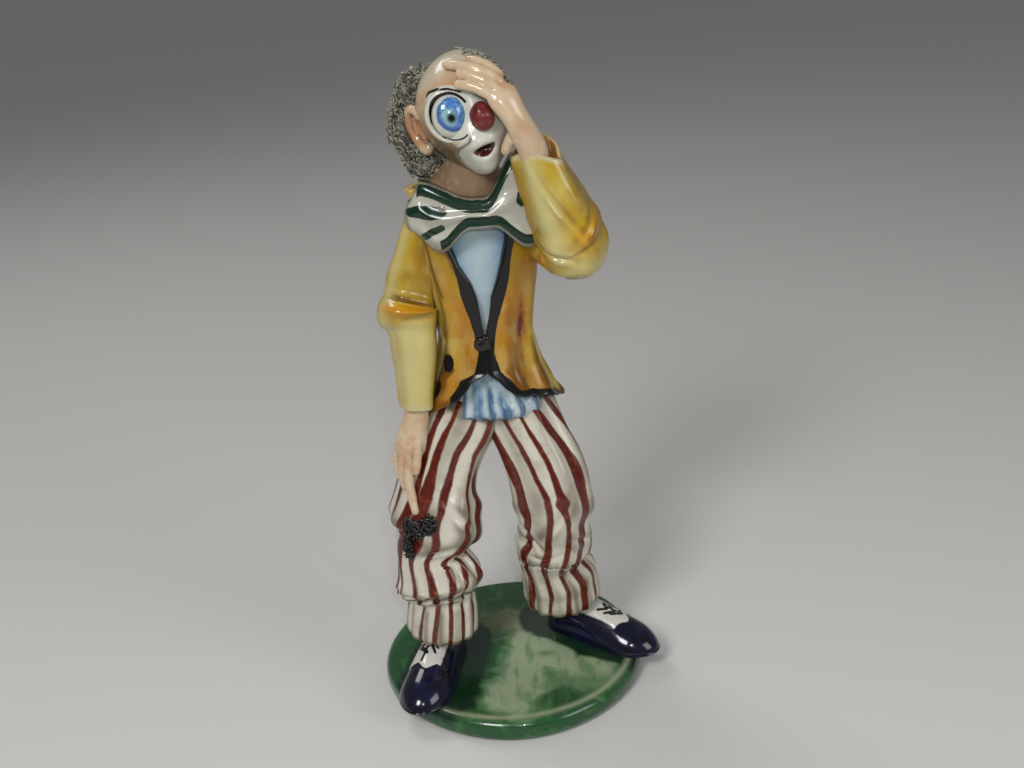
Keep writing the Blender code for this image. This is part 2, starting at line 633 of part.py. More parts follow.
def figure_shells():
    """Every shape of the figure, in its own frame."""
    forearm = RAISED_FOREARM_ROWS[::-1]
    forearm_fold = sleeve_fold(0.35, 2.2)
    shells = [
        limb(TORSO_ROWS, 72, 60, fold=shirt_frill),
        limb(NECK_ROWS, 24, 12),
        limb(RIGHT_LEG_ROWS, 72, 90, fold=trouser_fold(0.4, 13)),
        limb(LEFT_LEG_ROWS, 72, 90, fold=trouser_fold(2.1, 13)),
        limb(HANGING_SLEEVE_ROWS, 40, 50, fold=sleeve_fold(0.5, 0.3), mouth=3.5),
        limb(RAISED_UPPER_ROWS, 36, 28, front=UP, fold=sleeve_fold(0.8, 1.4)),
        limb(forearm, 40, 44, fold=forearm_fold, mouth=4.0, slant=cuff_slant),
        jacket(),
        collar(),
        shoe(RIGHT_HEEL, RIGHT_TOES_TOWARDS),
        shoe(LEFT_HEEL, LEFT_TOES_TOWARDS),
        tongue(RIGHT_HEEL, RIGHT_TOES_TOWARDS),
        tongue(LEFT_HEEL, LEFT_TOES_TOWARDS),
        button(),
    ]
    return shells + bow() + head() + hanging_hand() + raised_hand() + knee_tuft()


def add_shell(mesh, points, faces):
    """Adds a closed skin to the mesh, facing out."""
    made = [mesh.verts.new(point * MM) for point in points]
    added = [mesh.faces.new([made[corner] for corner in face]) for face in faces]
    bmesh.ops.recalc_face_normals(mesh, faces=added)


def glazed_ceramic():
    material = bpy.data.materials.new("glazed_ceramic")
    material.use_nodes = True
    shader = material.node_tree.nodes["Principled BSDF"]
    shader.inputs["Base Color"].default_value = (0.78, 0.66, 0.36, 1.0)
    shader.inputs["Roughness"].default_value = 0.18
    shader.inputs["Metallic"].default_value = 0.0
    return material


def floor_cutter():
    """A block under the ground, which makes the underside flat."""
    mesh = bmesh.new()
    bmesh.ops.create_cube(mesh, size=1.0)
    width = 2 * BASE_WIDTH * MM
    bmesh.ops.scale(mesh, vec=(width, width, width), verts=mesh.verts)
    bmesh.ops.translate(mesh, vec=(0, 0, -width / 2), verts=mesh.verts)
    data = bpy.data.meshes.new("floor_cutter")
    mesh.to_mesh(data)
    mesh.free()
    cutter = bpy.data.objects.new("floor_cutter", data)
    cutter.hide_render = True
    cutter.display_type = "WIRE"
    bpy.context.scene.collection.objects.link(cutter)
    return cutter


def clown_figurine():
    """All the shapes fused to one fired piece, thinned to few faces and cut flat below."""
    mesh = bmesh.new()
    for points, faces in figure_shells():
        add_shell(mesh, points * SCALE + (0, 0, BASE_THICKNESS), faces)
    add_shell(mesh, *base())
    data = bpy.data.meshes.new("clown_figurine")
    mesh.to_mesh(data)
    mesh.free()
    data.materials.append(glazed_ceramic())
    piece = bpy.data.objects.new("clown_figurine", data)
    bpy.context.scene.collection.objects.link(piece)
    fuse = piece.modifiers.new("fuse", "REMESH")
    fuse.mode = "VOXEL"
    fuse.voxel_size = GRAIN * MM
    fuse.adaptivity = 0.0
    thin = piece.modifiers.new("thin", "DECIMATE")
    thin.decimate_type = "COLLAPSE"
    thin.ratio = TRIANGLE_SHARE
    flat = piece.modifiers.new("flat_underside", "BOOLEAN")
    flat.operation = "DIFFERENCE"
    flat.object = floor_cutter()
    return piece


for old in list(bpy.data.objects):
    bpy.data.objects.remove(old)
clown_figurine()
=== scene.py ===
"""The looks of a glazed ceramic clown figurine on its green base.

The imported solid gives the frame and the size. Every piece here is a finer mesh that stands in the same
place, with a procedural glaze. Lengths are in drawing millimetres: the figure's own frame has its origin
in the middle of the base's top, with +Z up and the clown facing -Y.
"""

import math

import bpy
import numpy as np
from mathutils import Matrix, Vector, noise


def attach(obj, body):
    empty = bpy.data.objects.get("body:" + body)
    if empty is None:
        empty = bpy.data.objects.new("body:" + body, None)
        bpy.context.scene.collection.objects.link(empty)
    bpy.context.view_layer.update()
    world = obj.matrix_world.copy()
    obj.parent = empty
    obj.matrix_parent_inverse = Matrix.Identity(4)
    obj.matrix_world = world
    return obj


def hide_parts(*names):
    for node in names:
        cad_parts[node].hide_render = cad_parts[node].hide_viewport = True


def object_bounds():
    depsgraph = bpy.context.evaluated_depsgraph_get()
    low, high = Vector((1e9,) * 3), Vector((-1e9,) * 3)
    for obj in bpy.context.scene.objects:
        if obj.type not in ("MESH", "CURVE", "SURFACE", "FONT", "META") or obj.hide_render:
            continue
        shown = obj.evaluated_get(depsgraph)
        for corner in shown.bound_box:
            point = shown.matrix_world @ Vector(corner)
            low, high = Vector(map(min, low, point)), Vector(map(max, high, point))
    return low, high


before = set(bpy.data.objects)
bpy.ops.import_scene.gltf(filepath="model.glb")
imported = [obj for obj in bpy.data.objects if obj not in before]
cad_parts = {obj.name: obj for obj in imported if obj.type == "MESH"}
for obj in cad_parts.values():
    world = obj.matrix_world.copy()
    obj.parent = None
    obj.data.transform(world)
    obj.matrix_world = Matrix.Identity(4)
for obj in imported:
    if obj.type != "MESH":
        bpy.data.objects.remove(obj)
cad_low, cad_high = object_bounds()

# The drawing's sizes
DRAWN_HEIGHT = 251.7
BASE_THICKNESS = 9.0
BASE_WIDTH = 106.0
BASE_DEPTH = 104.0
BASE_EDGE_ROUND = 3.6
BASE_FOOT_INSET = 2.5
BASE_DOME = 1.2
MM = (cad_high.z - cad_low.z) / DRAWN_HEIGHT
NODE = "clown_figurine"

FRONT = np.array([0.0, -1.0, 0.0])
UP = np.array([0.0, 0.0, 1.0])
# A slanting direction that no strand of clay follows, from which its rings are turned
ASKEW = np.array([0.31, 0.2, 0.93])
TURN = 2 * math.pi

# Each row of a limb is x, y, z, half width and half depth. The rows run down, and those of the raised
# arm run from its shoulder to its elbow and from its elbow to its wrist.
TORSO_ROWS = [
    (-0.5, -4.0, 197.0, 8.5, 8.5),
    (-0.5, -2.5, 189.0, 13.5, 10.0),
    (-1.0, -1.5, 181.0, 20.0, 11.5),
    (-1.0, -1.5, 168.0, 19.5, 12.5),
    (-1.0, -1.0, 154.0, 17.5, 12.0),
    (-1.0, -1.0, 140.0, 16.0, 11.5),
    (-1.0, -1.0, 127.0, 17.0, 12.0),
    (-1.0, -1.0, 117.0, 19.5, 13.5),
    (-0.5, -1.0, 111.5, 22.5, 15.0),
    (-0.5, -1.0, 108.8, 20.0, 13.2),
]
NECK_ROWS = [
    (0.5, -9.0, 212.0, 8.0, 8.5),
    (-0.5, -8.0, 205.0, 9.0, 8.5),
    (-1.5, -7.0, 199.5, 13.0, 9.5),
    (-2.0, -5.5, 194.0, 19.0, 10.5),
    (-1.5, -3.0, 187.0, 19.0, 11.0),
]
RIGHT_LEG_ROWS = [
    (-9.5, 0.0, 114.0, 13.0, 11.5),
    (-13.2, -1.0, 104.5, 14.4, 13.0),
    (-17.9, -2.5, 96.0, 14.0, 13.0),
    (-21.5, -4.0, 88.0, 13.8, 13.0),
    (-24.5, -6.0, 80.0, 15.0, 13.6),
    (-26.1, -8.0, 69.5, 17.7, 15.2),
    (-26.4, -8.5, 61.0, 16.4, 14.4),
    (-30.4, -8.5, 53.0, 12.3, 11.6),
    (-29.0, -8.5, 47.0, 14.4, 13.0),
    (-27.2, -8.8, 40.0, 17.2, 14.8),
    (-26.6, -9.0, 36.5, 16.0, 13.8),
    (-26.3, -9.0, 33.0, 12.8, 11.8),
    (-26.6, -9.5, 28.0, 13.4, 12.4),
    (-27.4, -10.0, 19.5, 13.8, 12.8),
    (-27.6, -10.0, 16.5, 13.0, 12.0),
]
LEFT_LEG_ROWS = [
    (7.5, 0.0, 114.0, 13.2, 11.5),
    (10.8, -1.0, 103.5, 13.4, 12.6),
    (14.1, -2.5, 94.5, 13.4, 13.0),
    (17.4, -4.5, 86.0, 14.2, 13.3),
    (19.4, -6.5, 77.0, 14.8, 14.0),
    (20.3, -7.0, 69.0, 14.7, 14.0),
    (20.2, -5.5, 60.5, 13.4, 13.0),
    (20.2, -3.5, 54.5, 13.9, 13.2),
    (19.3, -1.5, 49.0, 15.2, 14.2),
    (18.4, 0.0, 43.5, 14.2, 13.2),
    (18.6, 1.0, 38.5, 12.9, 12.0),
    (20.6, 3.0, 32.0, 15.0, 13.6),
    (21.4, 4.6, 27.0, 15.2, 13.8),
    (22.0, 5.8, 20.5, 15.6, 14.0),
    (22.2, 6.2, 17.0, 14.4, 12.8),
]
HANGING_SLEEVE_ROWS = [
    (-15.0, 0.5, 187.0, 7.0, 8.0),
    (-20.0, 0.0, 181.0, 7.4, 9.0),
    (-24.3, -2.0, 169.0, 7.8, 9.0),
    (-27.4, -4.0, 157.0, 9.6, 10.0),
    (-28.4, -5.0, 151.5, 10.6, 10.5),
    (-27.4, -6.0, 145.0, 9.4, 9.5),
    (-27.2, -8.0, 132.0, 8.0, 8.5),
    (-27.9, -10.0, 121.0, 7.0, 7.5),
    (-28.1, -10.5, 115.5, 6.7, 7.0),
]
RAISED_UPPER_ROWS = [
    (13.0, 0.0, 185.0, 8.0, 9.0),
    (20.0, -3.0, 180.0, 9.5, 10.0),
    (27.0, -9.0, 174.5, 10.5, 10.5),
    (33.0, -14.0, 172.5, 10.5, 10.0),
    (37.0, -16.5, 173.0, 7.0, 7.0),
]
RAISED_FOREARM_ROWS = [
    (33.5, -15.0, 163.5, 5.0, 5.0),
    (33.5, -15.5, 167.5, 10.0, 9.5),
    (32.0, -17.0, 176.0, 12.5, 11.0),
    (28.0, -20.0, 188.0, 11.3, 10.0),
    (23.5, -22.0, 201.0, 9.2, 8.6),
    (21.0, -22.5, 210.0, 8.2, 7.8),
]

# Each painted stripe on a trouser leg is its half width at the knee and the places that it runs through,
# each the share of the leg's length and the angle in degrees. The front ones are placed one by one.
RIGHT_LEG_STRIPES = [
    (1.2, [(0.0, -62), (0.2, -64), (0.4, -60), (0.48, -68), (0.6, -84), (0.78, -84), (1.0, -90)]),
    (1.8, [(0.0, -40), (0.13, -42), (0.23, -40), (0.36, -31), (0.44, -37), (0.5, -46), (0.66, -62),
           (1.0, -68)]),
    (1.9, [(0.0, -15), (0.14, -20), (0.25, -19), (0.35, -14), (0.5, -21), (0.65, -32), (0.78, -30),
           (1.0, -42)]),
    (1.6, [(0.0, 20), (0.2, 10), (0.33, 14), (0.43, 9), (0.5, 1), (0.68, -1), (0.78, -5), (1.0, -14)]),
    (0.9, [(0.0, 44), (0.18, 38), (0.32, 45), (0.45, 49), (0.53, 38), (0.6, 32), (0.73, 28), (0.8, 16),
           (1.0, 14)]),
    (1.3, [(0.0, 66), (0.21, 76), (0.4, 85), (0.55, 75), (0.71, 55), (0.8, 38), (1.0, 38)]),
    (1.4, [(0.0, 90), (0.3, 105), (0.55, 102), (0.74, 80), (0.82, 66), (1.0, 66)]),
]
LEFT_LEG_STRIPES = [
    (2.2, [(0.0, -66), (0.13, -60), (0.23, -59), (0.37, -53), (0.55, -53), (0.75, -51), (1.0, -58)]),
    (1.1, [(0.0, -28), (0.18, -16), (0.32, -14), (0.4, -7), (0.47, -8), (0.55, -13), (0.77, -14),
           (1.0, -24)]),
    (0.9, [(0.0, 1), (0.07, 3), (0.22, 11), (0.34, 12), (0.42, 13), (0.49, 20), (0.59, 20), (0.69, 15),
           (1.0, 6)]),
    (2.7, [(0.0, 24), (0.06, 29), (0.22, 49), (0.33, 55), (0.5, 56), (0.6, 49), (0.69, 41), (0.83, 38),
           (1.0, 34)]),
    (1.4, [(0.0, 60), (0.22, 82), (0.5, 88), (0.69, 70), (1.0, 62)]),
]

# The head's own frame has its origin in the middle of the skull and the face towards -Y.
HEAD_CENTRE = (-0.3, -10.0, 222.0)
HEAD_RADII = (17.0, 18.0, 21.0)
HEAD_TILT = 11.0
HEAD_TURN = 9.0
EYE_PLACE = (-7.8, -13.6, 2.4)
EYE_RADII = (6.4, 4.8, 7.4)
NOSE_PLACE = (1.6, -19.8, 0.3)
NOSE_RADII = (4.1, 4.4, 4.9)
MOUTH_PLACE = (-0.3, -20.6, -10.5)
MOUTH_RADII = (3.4, 3.0, 1.7)
EAR_PLACE = (-16.6, 2.5, -1.0)
# Each mass of hair is its centre, its radii and how many strands cover it.
HAIR_MASSES = [
    ((-4.8, 11.5, -1.5), (22.0, 14.0, 18.0), 1100),
    ((-13.0, 9.5, 8.0), (9.0, 8.5, 8.5), 320),
    ((-17.0, 9.5, -12.0), (7.5, 6.5, 7.0), 210),
    ((4.5, 5.0, 6.0), (6.5, 8.5, 9.5), 180),
]

# The hair on top of the head starts this far to the clown's left of the middle.
CROWN_HAIR_EDGE = 6.0

BOW_MIDDLE = (1.5, -23.5, 193.3)
BOW_REACH = 27.0
BOW_THICKNESS = 6.0
JACKET_TOP = 189.0
JACKET_THICKNESS = 1.8
JACKET_STANDOFF = 1.7
JACKET_GIRTH_RADIUS = 17.0
# A height of the jacket's front, and the angles of its left and its right edge there.
JACKET_EDGES = [
    (120.0, 22.0, -27.0),
    (123.0, 15.0, -20.0),
    (126.0, 9.5, -16.0),
    (129.0, 0.1, -0.1),
    (140.0, 0.1, -0.1),
    (144.0, 2.0, -1.5),
    (150.5, 7.0, -3.5),
    (157.0, 10.0, -5.5),
    (163.0, 16.5, -10.5),
    (169.5, 22.0, -21.0),
    (176.0, 26.5, -27.0),
    (189.0, 30.0, -34.0),
]
# A height, and how broad the black edge is there on the left front and on the right one.
JACKET_TRIM = [
    (118.0, 2.6, 2.8),
    (123.0, 3.0, 3.5),
    (129.0, 3.8, 3.9),
    (132.0, 3.3, 3.3),
    (136.5, 2.5, 2.5),
    (140.0, 3.2, 3.2),
    (144.0, 3.1, 3.1),
    (150.0, 3.2, 3.9),
    (157.0, 4.2, 5.2),
    (163.0, 3.7, 3.9),
    (168.0, 2.8, 1.7),
    (170.0, 2.3, 1.1),
    (189.0, 1.3, 0.5),
]
# A share of the way round the jacket from its left front edge, and the height of its hem there.
JACKET_HEM = [
    (0.0, 120.0),
    (0.10, 116.5),
    (0.22, 112.0),
    (0.36, 108.5),
    (0.5, 106.0),
    (0.72, 108.5),
    (0.84, 110.0),
    (0.93, 114.5),
    (1.0, 119.5),
]
BUTTON_PLACE = (-2.0, -14.5, 139.5)

# Each lump of the tuft on the knee is its centre and its radii.
TUFT_LUMPS = [
    ((-28.2, -22.6, 71.5), (3.4, 2.6, 4.6)),
    ((-35.0, -20.6, 69.5), (3.2, 2.6, 4.6)),
    ((-36.4, -19.8, 61.5), (2.6, 2.4, 5.6)),
    ((-31.8, -22.4, 69.5), (2.8, 2.2, 3.6)),
]

# How finely the larger pieces are meshed: points round or across them, then along or down them
LEG_MESH = (170, 200)
SHIRT_MESH = (180, 110)
JACKET_MESH = (220, 100)
COLLAR_MESH = (160, 26)
BOW_MESH = (160, 56)
SKULL_MESH = (150, 120)
SHOE_MESH = (90, 100)
# Over how many rings a trouser leg's direction is averaged, so that its bends don't crumple
LEG_RING_WINDOW = 27

SHOE_LENGTH = 52.0
RIGHT_HEEL = (-24.8, 7.0, 0.0)
RIGHT_TOES_TOWARDS = (-0.27, -0.963)
LEFT_HEEL = (16.0, 16.0, 0.0)
LEFT_TOES_TOWARDS = (0.835, -0.55)
SOLE_SINK = 1.2
SOLE_LEVEL = 2.0
SOLE_FLATNESS = 0.22

# The studio, in metres and watts: each light's name, place, size and power
LIGHTS = [
    ("key", (-0.40, -0.75, 0.80), 0.30, 6.2),
    ("fill", (0.70, -0.50, 0.45), 0.4, 2.0),
    ("back", (-0.55, 0.55, 1.1), 0.4, 3.0),
    ("lamp", (0.03, -0.46, 0.34), 0.012, 0.45),
]
LIT_PLACE = (0.0, 0.0, 0.14)
FLOOR_REACH = 15.0
FLOOR_COLOUR = (0.62, 0.61, 0.59, 1.0)
ROOM_COLOUR = (0.80, 0.80, 0.80, 1.0)
ROOM_LIGHT = 0.24

# The camera: its place in drawing millimetres, its angles in degrees and its lens
CAMERA_PLACE = (7.5, -412.0, 291.0)
CAMERA_PITCH = 21.8
CAMERA_ROLL = 4.2
FOCAL_PIXELS = 1160.0
PICTURE_WIDTH = 1024.0
SENSOR_WIDTH = 36.0


def srgb(red, green, blue):
    """A colour picked in ordinary 0 to 255 steps, as the linear values that shaders use."""
    parts = np.array([red, green, blue]) / 255
    linear = np.where(parts <= 0.04045, parts / 12.92, ((parts + 0.055) / 1.055) ** 2.4)
    return (*linear.tolist(), 1.0)


def smooth_rows(rows, count, ends=0.0):
    """Rows read from a smooth curve through the given ones, closer together at the ends by that share."""
    rows = np.asarray(rows, float)
    padded = np.vstack([2 * rows[0] - rows[1], rows, 2 * rows[-1] - rows[-2]])
    even = np.linspace(0, 1, count)
    eased = 0.5 - 0.5 * np.cos(np.pi * even)
    place = (even * (1 - ends) + eased * ends) * (len(rows) - 1)
    first = np.minimum(place.astype(int), len(rows) - 2)
    part = (place - first)[:, None]
    a, b, c, d = (padded[first + step] for step in range(4))
    cubic = (3 * b - a - 3 * c + d) * part**3
    return 0.5 * (2 * b + (c - a) * part + (2 * a - 5 * b + 4 * c - d) * part**2 + cubic)


def unit(vectors):
    return vectors / np.linalg.norm(vectors, axis=-1, keepdims=True)


def signed(angle):
    """The same angle, between minus and plus half a turn."""
    return (angle + math.pi) % TURN - math.pi


def bump(distance, reach):
    """A soft hill that is 1 at no distance and fades over the reach."""
    return np.exp(-((distance / reach) ** 2))


def ramp(value, low, high):
    """0 below low, 1 above high and smooth between them."""
    share = np.clip((value - low) / (high - low), 0, 1)
    return share * share * (3 - 2 * share)


def cloud(points, size, shift=0.0):
    """Smooth noise from -1 to 1 at each point, with lumps of about that size."""
    flat = (np.asarray(points).reshape(-1, 3) / size + shift).tolist()
    return np.array([noise.noise(place) for place in flat]).reshape(np.shape(points)[:-1])


def read(table, place, column=1):
    """The value in a table's column where its first column reaches the place."""
    values = np.asarray(table, float)
    return np.interp(place, values[:, 0], values[:, column])


def line_distance(x, z, points):
    """How far each place is from a line through the points."""
    nearest = np.full(np.shape(x), 1e9)
    for (ax, az), (bx, bz) in zip(points, points[1:]):
        run_x, run_z = bx - ax, bz - az
        share = np.clip(((x - ax) * run_x + (z - az) * run_z) / (run_x**2 + run_z**2), 0, 1)
        nearest = np.minimum(nearest, np.hypot(x - ax - share * run_x, z - az - share * run_z))
    return nearest


def oval_distance(x, z, centre, radii, lean=0.0):
    """About how far each place is outside an oval; less than 0 inside it."""
    cos, sin = math.cos(math.radians(lean)), math.sin(math.radians(lean))
    across = (x - centre[0]) * cos + (z - centre[1]) * sin
    along = (z - centre[1]) * cos - (x - centre[0]) * sin
    return (np.hypot(across / radii[0], along / radii[1]) - 1) * min(radii)


def grid_faces(rings, sides, closed=True):
    faces = []
    for ring in range(rings - 1):
        near, far = ring * sides, (ring + 1) * sides
        for side in range(sides if closed else sides - 1):
            beyond = (side + 1) % sides
            faces.append((near + side, near + beyond, far + beyond, far + side))
    return faces


def skin(grid, fields=None):
    """The closed skin over a grid of rings: points, faces and its fields, one value to a point."""
    rings, sides = grid.shape[:2]
    points = np.vstack([grid.reshape(-1, 3), grid[0].mean(0), grid[-1].mean(0)])
    first_pole, last_pole = rings * sides, rings * sides + 1
    faces = grid_faces(rings, sides)
    last = (rings - 1) * sides
    for side in range(sides):
        beyond = (side + 1) % sides
        faces.append((first_pole, beyond, side))
        faces.append((last_pole, last + side, last + beyond))
    values = {}
    for name, field in (fields or {}).items():
        field = np.broadcast_to(field, (rings, sides))
        values[name] = np.concatenate([field.ravel(), [field[0].mean(), field[-1].mean()]])
    return points, faces, values


def slab(outer, inner, fields=None):
    """The closed skin of a sheet with thickness, between two open grids of the same shape."""
    rows, columns = outer.shape[:2]
    points = np.vstack([outer.reshape(-1, 3), inner.reshape(-1, 3)])
    under = rows * columns
    faces = []
    for quad in grid_faces(rows, columns, closed=False):
        faces.append(quad)
        faces.append(tuple(under + corner for corner in reversed(quad)))
    rim = list(range(columns))
    rim += [row * columns + columns - 1 for row in range(1, rows)]
    rim += [(rows - 1) * columns + column for column in range(columns - 2, -1, -1)]
    rim += [row * columns for row in range(rows - 2, 0, -1)]
    for here, there in zip(rim, rim[1:] + rim[:1]):
        faces.append((there, here, under + here, under + there))
    values = {}
    for name, field in (fields or {}).items():
        field = np.broadcast_to(field, (rows, columns)).ravel()
        values[name] = np.concatenate([field, field])
    values["lining"] = np.concatenate([np.zeros(under), np.ones(under)])
    return points, faces, values


def steadied(vectors, window):
    """Directions along a path, averaged over a window so that close bends don't turn the rings into
    each other."""
    padded = np.pad(vectors, ((window // 2, window - 1 - window // 2), (0, 0)), mode="edge")
    kernel = np.ones(window) / window
    return unit(np.stack([np.convolve(column, kernel, mode="valid") for column in padded.T], axis=1))


def limb(
    rows, sides, rings, front=FRONT, fold=None, rounded=False, mouth=0.0, slant=None, fields=None, window=1
):
    """A closed skin round a path. fold(angle, down, length) adds to its radius, and mouth hollows its end.

    The angle is 0 in front and grows towards +X on a limb that runs downwards. down is the way along the
    path. fields(angle, down, length) gives named values for the points, and mouth also gives "lining"."""
    track = smooth_rows(rows, rings, ends=0.8 if rounded else 0.0)
    centres = track[:, :3]
    along = steadied(unit(np.gradient(centres, axis=0)), window)
    ahead = unit(front - (along @ front)[:, None] * along)
    aside = np.cross(ahead, along)
    wide, deep = track[:, 3:4], track[:, 4:5]
    steps = np.linalg.norm(np.diff(centres, axis=0), axis=1)
    run = np.concatenate([[0], np.cumsum(steps)])[:, None]
    length = run[-1, 0]
    if rounded:
        closing = np.clip(1 - np.minimum(run, length - run) / wide, 0, 0.995)
        wide, deep = wide * np.sqrt(1 - closing**2), deep * np.sqrt(1 - closing**2)
    angle = np.linspace(0, TURN, sides, endpoint=False)[None, :]
    grown = 0 if fold is None else fold(angle, run, length)
    forward = ((deep + grown) * np.cos(angle))[..., None]
    sideways = ((wide + grown) * np.sin(angle))[..., None]
    grid = centres[:, None] + forward * ahead[:, None] + sideways * aside[:, None]
    if slant is not None:
        grid = grid + slant(angle, run, length)[..., None] * along[:, None]
    named = {} if fields is None else dict(fields(angle, run, length))
    if mouth:
        edge, middle = grid[-1], centres[-1]
        turned_in = [middle + (edge - middle) * 0.93 + along[-1] * 0.5, middle + (edge - middle) * 0.84]
        turned_in.append(middle - along[-1] * mouth + (edge - middle) * 0.74)
        grid = np.vstack([grid, np.stack(turned_in)])
        for name, field in named.items():
            field = np.broadcast_to(field, (rings, sides))
            named[name] = np.vstack([field] + [field[-1:]] * 3)
        named["lining"] = np.vstack([np.zeros((rings, sides)), np.ones((3, sides)) * [[0.3], [1], [1]]])
    return skin(grid, named)


def sphere(sides, rings, margin):
    """The x, y and z of directions over a sphere, in rings from the top down, with a gap at each pole."""
    turn = np.linspace(0, TURN, sides, endpoint=False)[None, :]
    fall = np.linspace(margin, math.pi - margin, rings)[:, None]
    return np.sin(fall) * np.sin(turn), -np.sin(fall) * np.cos(turn), np.cos(fall) + 0 * turn


def ball(centre, radii, sides=24, rings=14):
    """An ellipsoid."""
    return skin(np.asarray(centre) + np.stack(sphere(sides, rings, 0.04), axis=2) * np.asarray(radii))


def strand(points, radius, sides=5, rings=16):
    """A thin rope of clay."""
    rows = [(*point, radius, radius) for point in points]
    return limb(rows, sides, rings, front=ASKEW, rounded=True)


def head_turn():
    """The turn of the head about Z and then its tilt about Y, as one matrix."""
    yaw, lean = math.radians(HEAD_TURN), math.radians(-HEAD_TILT)
    spin = np.array([[math.cos(yaw), -math.sin(yaw), 0], [math.sin(yaw), math.cos(yaw), 0], [0, 0, 1]])
    tip = np.array([[math.cos(lean), 0, math.sin(lean)], [0, 1, 0], [-math.sin(lean), 0, math.cos(lean)]])
    return tip @ spin


def from_head(points):
    """Points of the head's own frame, in the figure's frame."""
    return np.asarray(points) @ head_turn().T + HEAD_CENTRE


def merged(shells):
    """Several skins as one list of points and one of faces, with their shared fields."""
    points = np.vstack([shell[0] for shell in shells])
    faces, fields, start = [], {}, 0
    for shell in shells:
        faces += [tuple(corner + start for corner in face) for face in shell[1]]
        start += len(shell[0])
    for name in shells[0][2]:
        if all(name in shell[2] for shell in shells):
            fields[name] = np.concatenate([shell[2][name] for shell in shells])
    return points, faces, fields


def linked(name, data):
    """A new object in the scene."""
    made = bpy.data.objects.new(name, data)
    bpy.context.scene.collection.objects.link(made)
    return made


def fused(shells, grain, rounds):
    """The shells grown together to one skin, as wet clay is, and smoothed where they meet."""
    points, faces, _ = merged(shells)
    data = bpy.data.meshes.new("clay")
    data.from_pydata((points * MM).tolist(), [], faces)
    lump = linked("clay", data)
    remesh = lump.modifiers.new("fuse", "REMESH")
    remesh.mode = "VOXEL"
    remesh.voxel_size = grain * MM
    smooth = lump.modifiers.new("smooth", "SMOOTH")
    smooth.factor = 0.5
    smooth.iterations = rounds
    graph = bpy.context.evaluated_depsgraph_get()
    graph.update()
    made = bpy.data.meshes.new_from_object(lump.evaluated_get(graph))
    places = np.empty(len(made.vertices) * 3, np.float32)
    made.vertices.foreach_get("co", places)
    corners = [tuple(face.vertices) for face in made.polygons]
    bpy.data.objects.remove(lump)
    bpy.data.meshes.remove(made)
    bpy.data.meshes.remove(data)
    return places.reshape(-1, 3).astype(float) / MM, corners, {}


def cavity(data, rounds):
    """How deep each point lies in a crease, in millimetres; less than 0 on a ridge."""
    count = len(data.vertices)
    points, normals = np.empty(count * 3, np.float32), np.empty(count * 3, np.float32)
    edges = np.empty(len(data.edges) * 2, np.int32)
    data.vertices.foreach_get("co", points)
    data.vertices.foreach_get("normal", normals)
    data.edges.foreach_get("vertices", edges)
    points, normals, edges = points.reshape(-1, 3) / MM, normals.reshape(-1, 3), edges.reshape(-1, 2)
    start, end = edges[:, 0], edges[:, 1]
    share = np.maximum(np.bincount(edges.ravel(), minlength=count), 1)
    smooth = points.astype(float)
    for _ in range(rounds):
        total = [
            np.bincount(start, smooth[end, axis], count) + np.bincount(end, smooth[start, axis], count)
            for axis in range(3)
        ]
        smooth = 0.5 * smooth + 0.5 * np.stack(total, axis=1) / share[:, None]
    return ((smooth - points) * normals).sum(1)


def piece(name, shell, material, rounds=16):
    """A mesh object in its place, with its fields, that rides with the figure and stands for its solid."""
    points, faces, fields = shell
    data = bpy.data.meshes.new(name)
    data.from_pydata(((points + (0, 0, BASE_THICKNESS)) * MM).tolist(), [], faces)
    data.update()
    data.shade_smooth()
    fields = dict(fields)
    fields["cavity"] = cavity(data, rounds)
    for field_name, values in fields.items():
        layer = data.attributes.new(field_name, "FLOAT", "POINT")
        layer.data.foreach_set("value", np.asarray(values, np.float32))
    data.materials.append(material)
    made = linked(name, data)
    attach(made, "root")
    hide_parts(NODE)


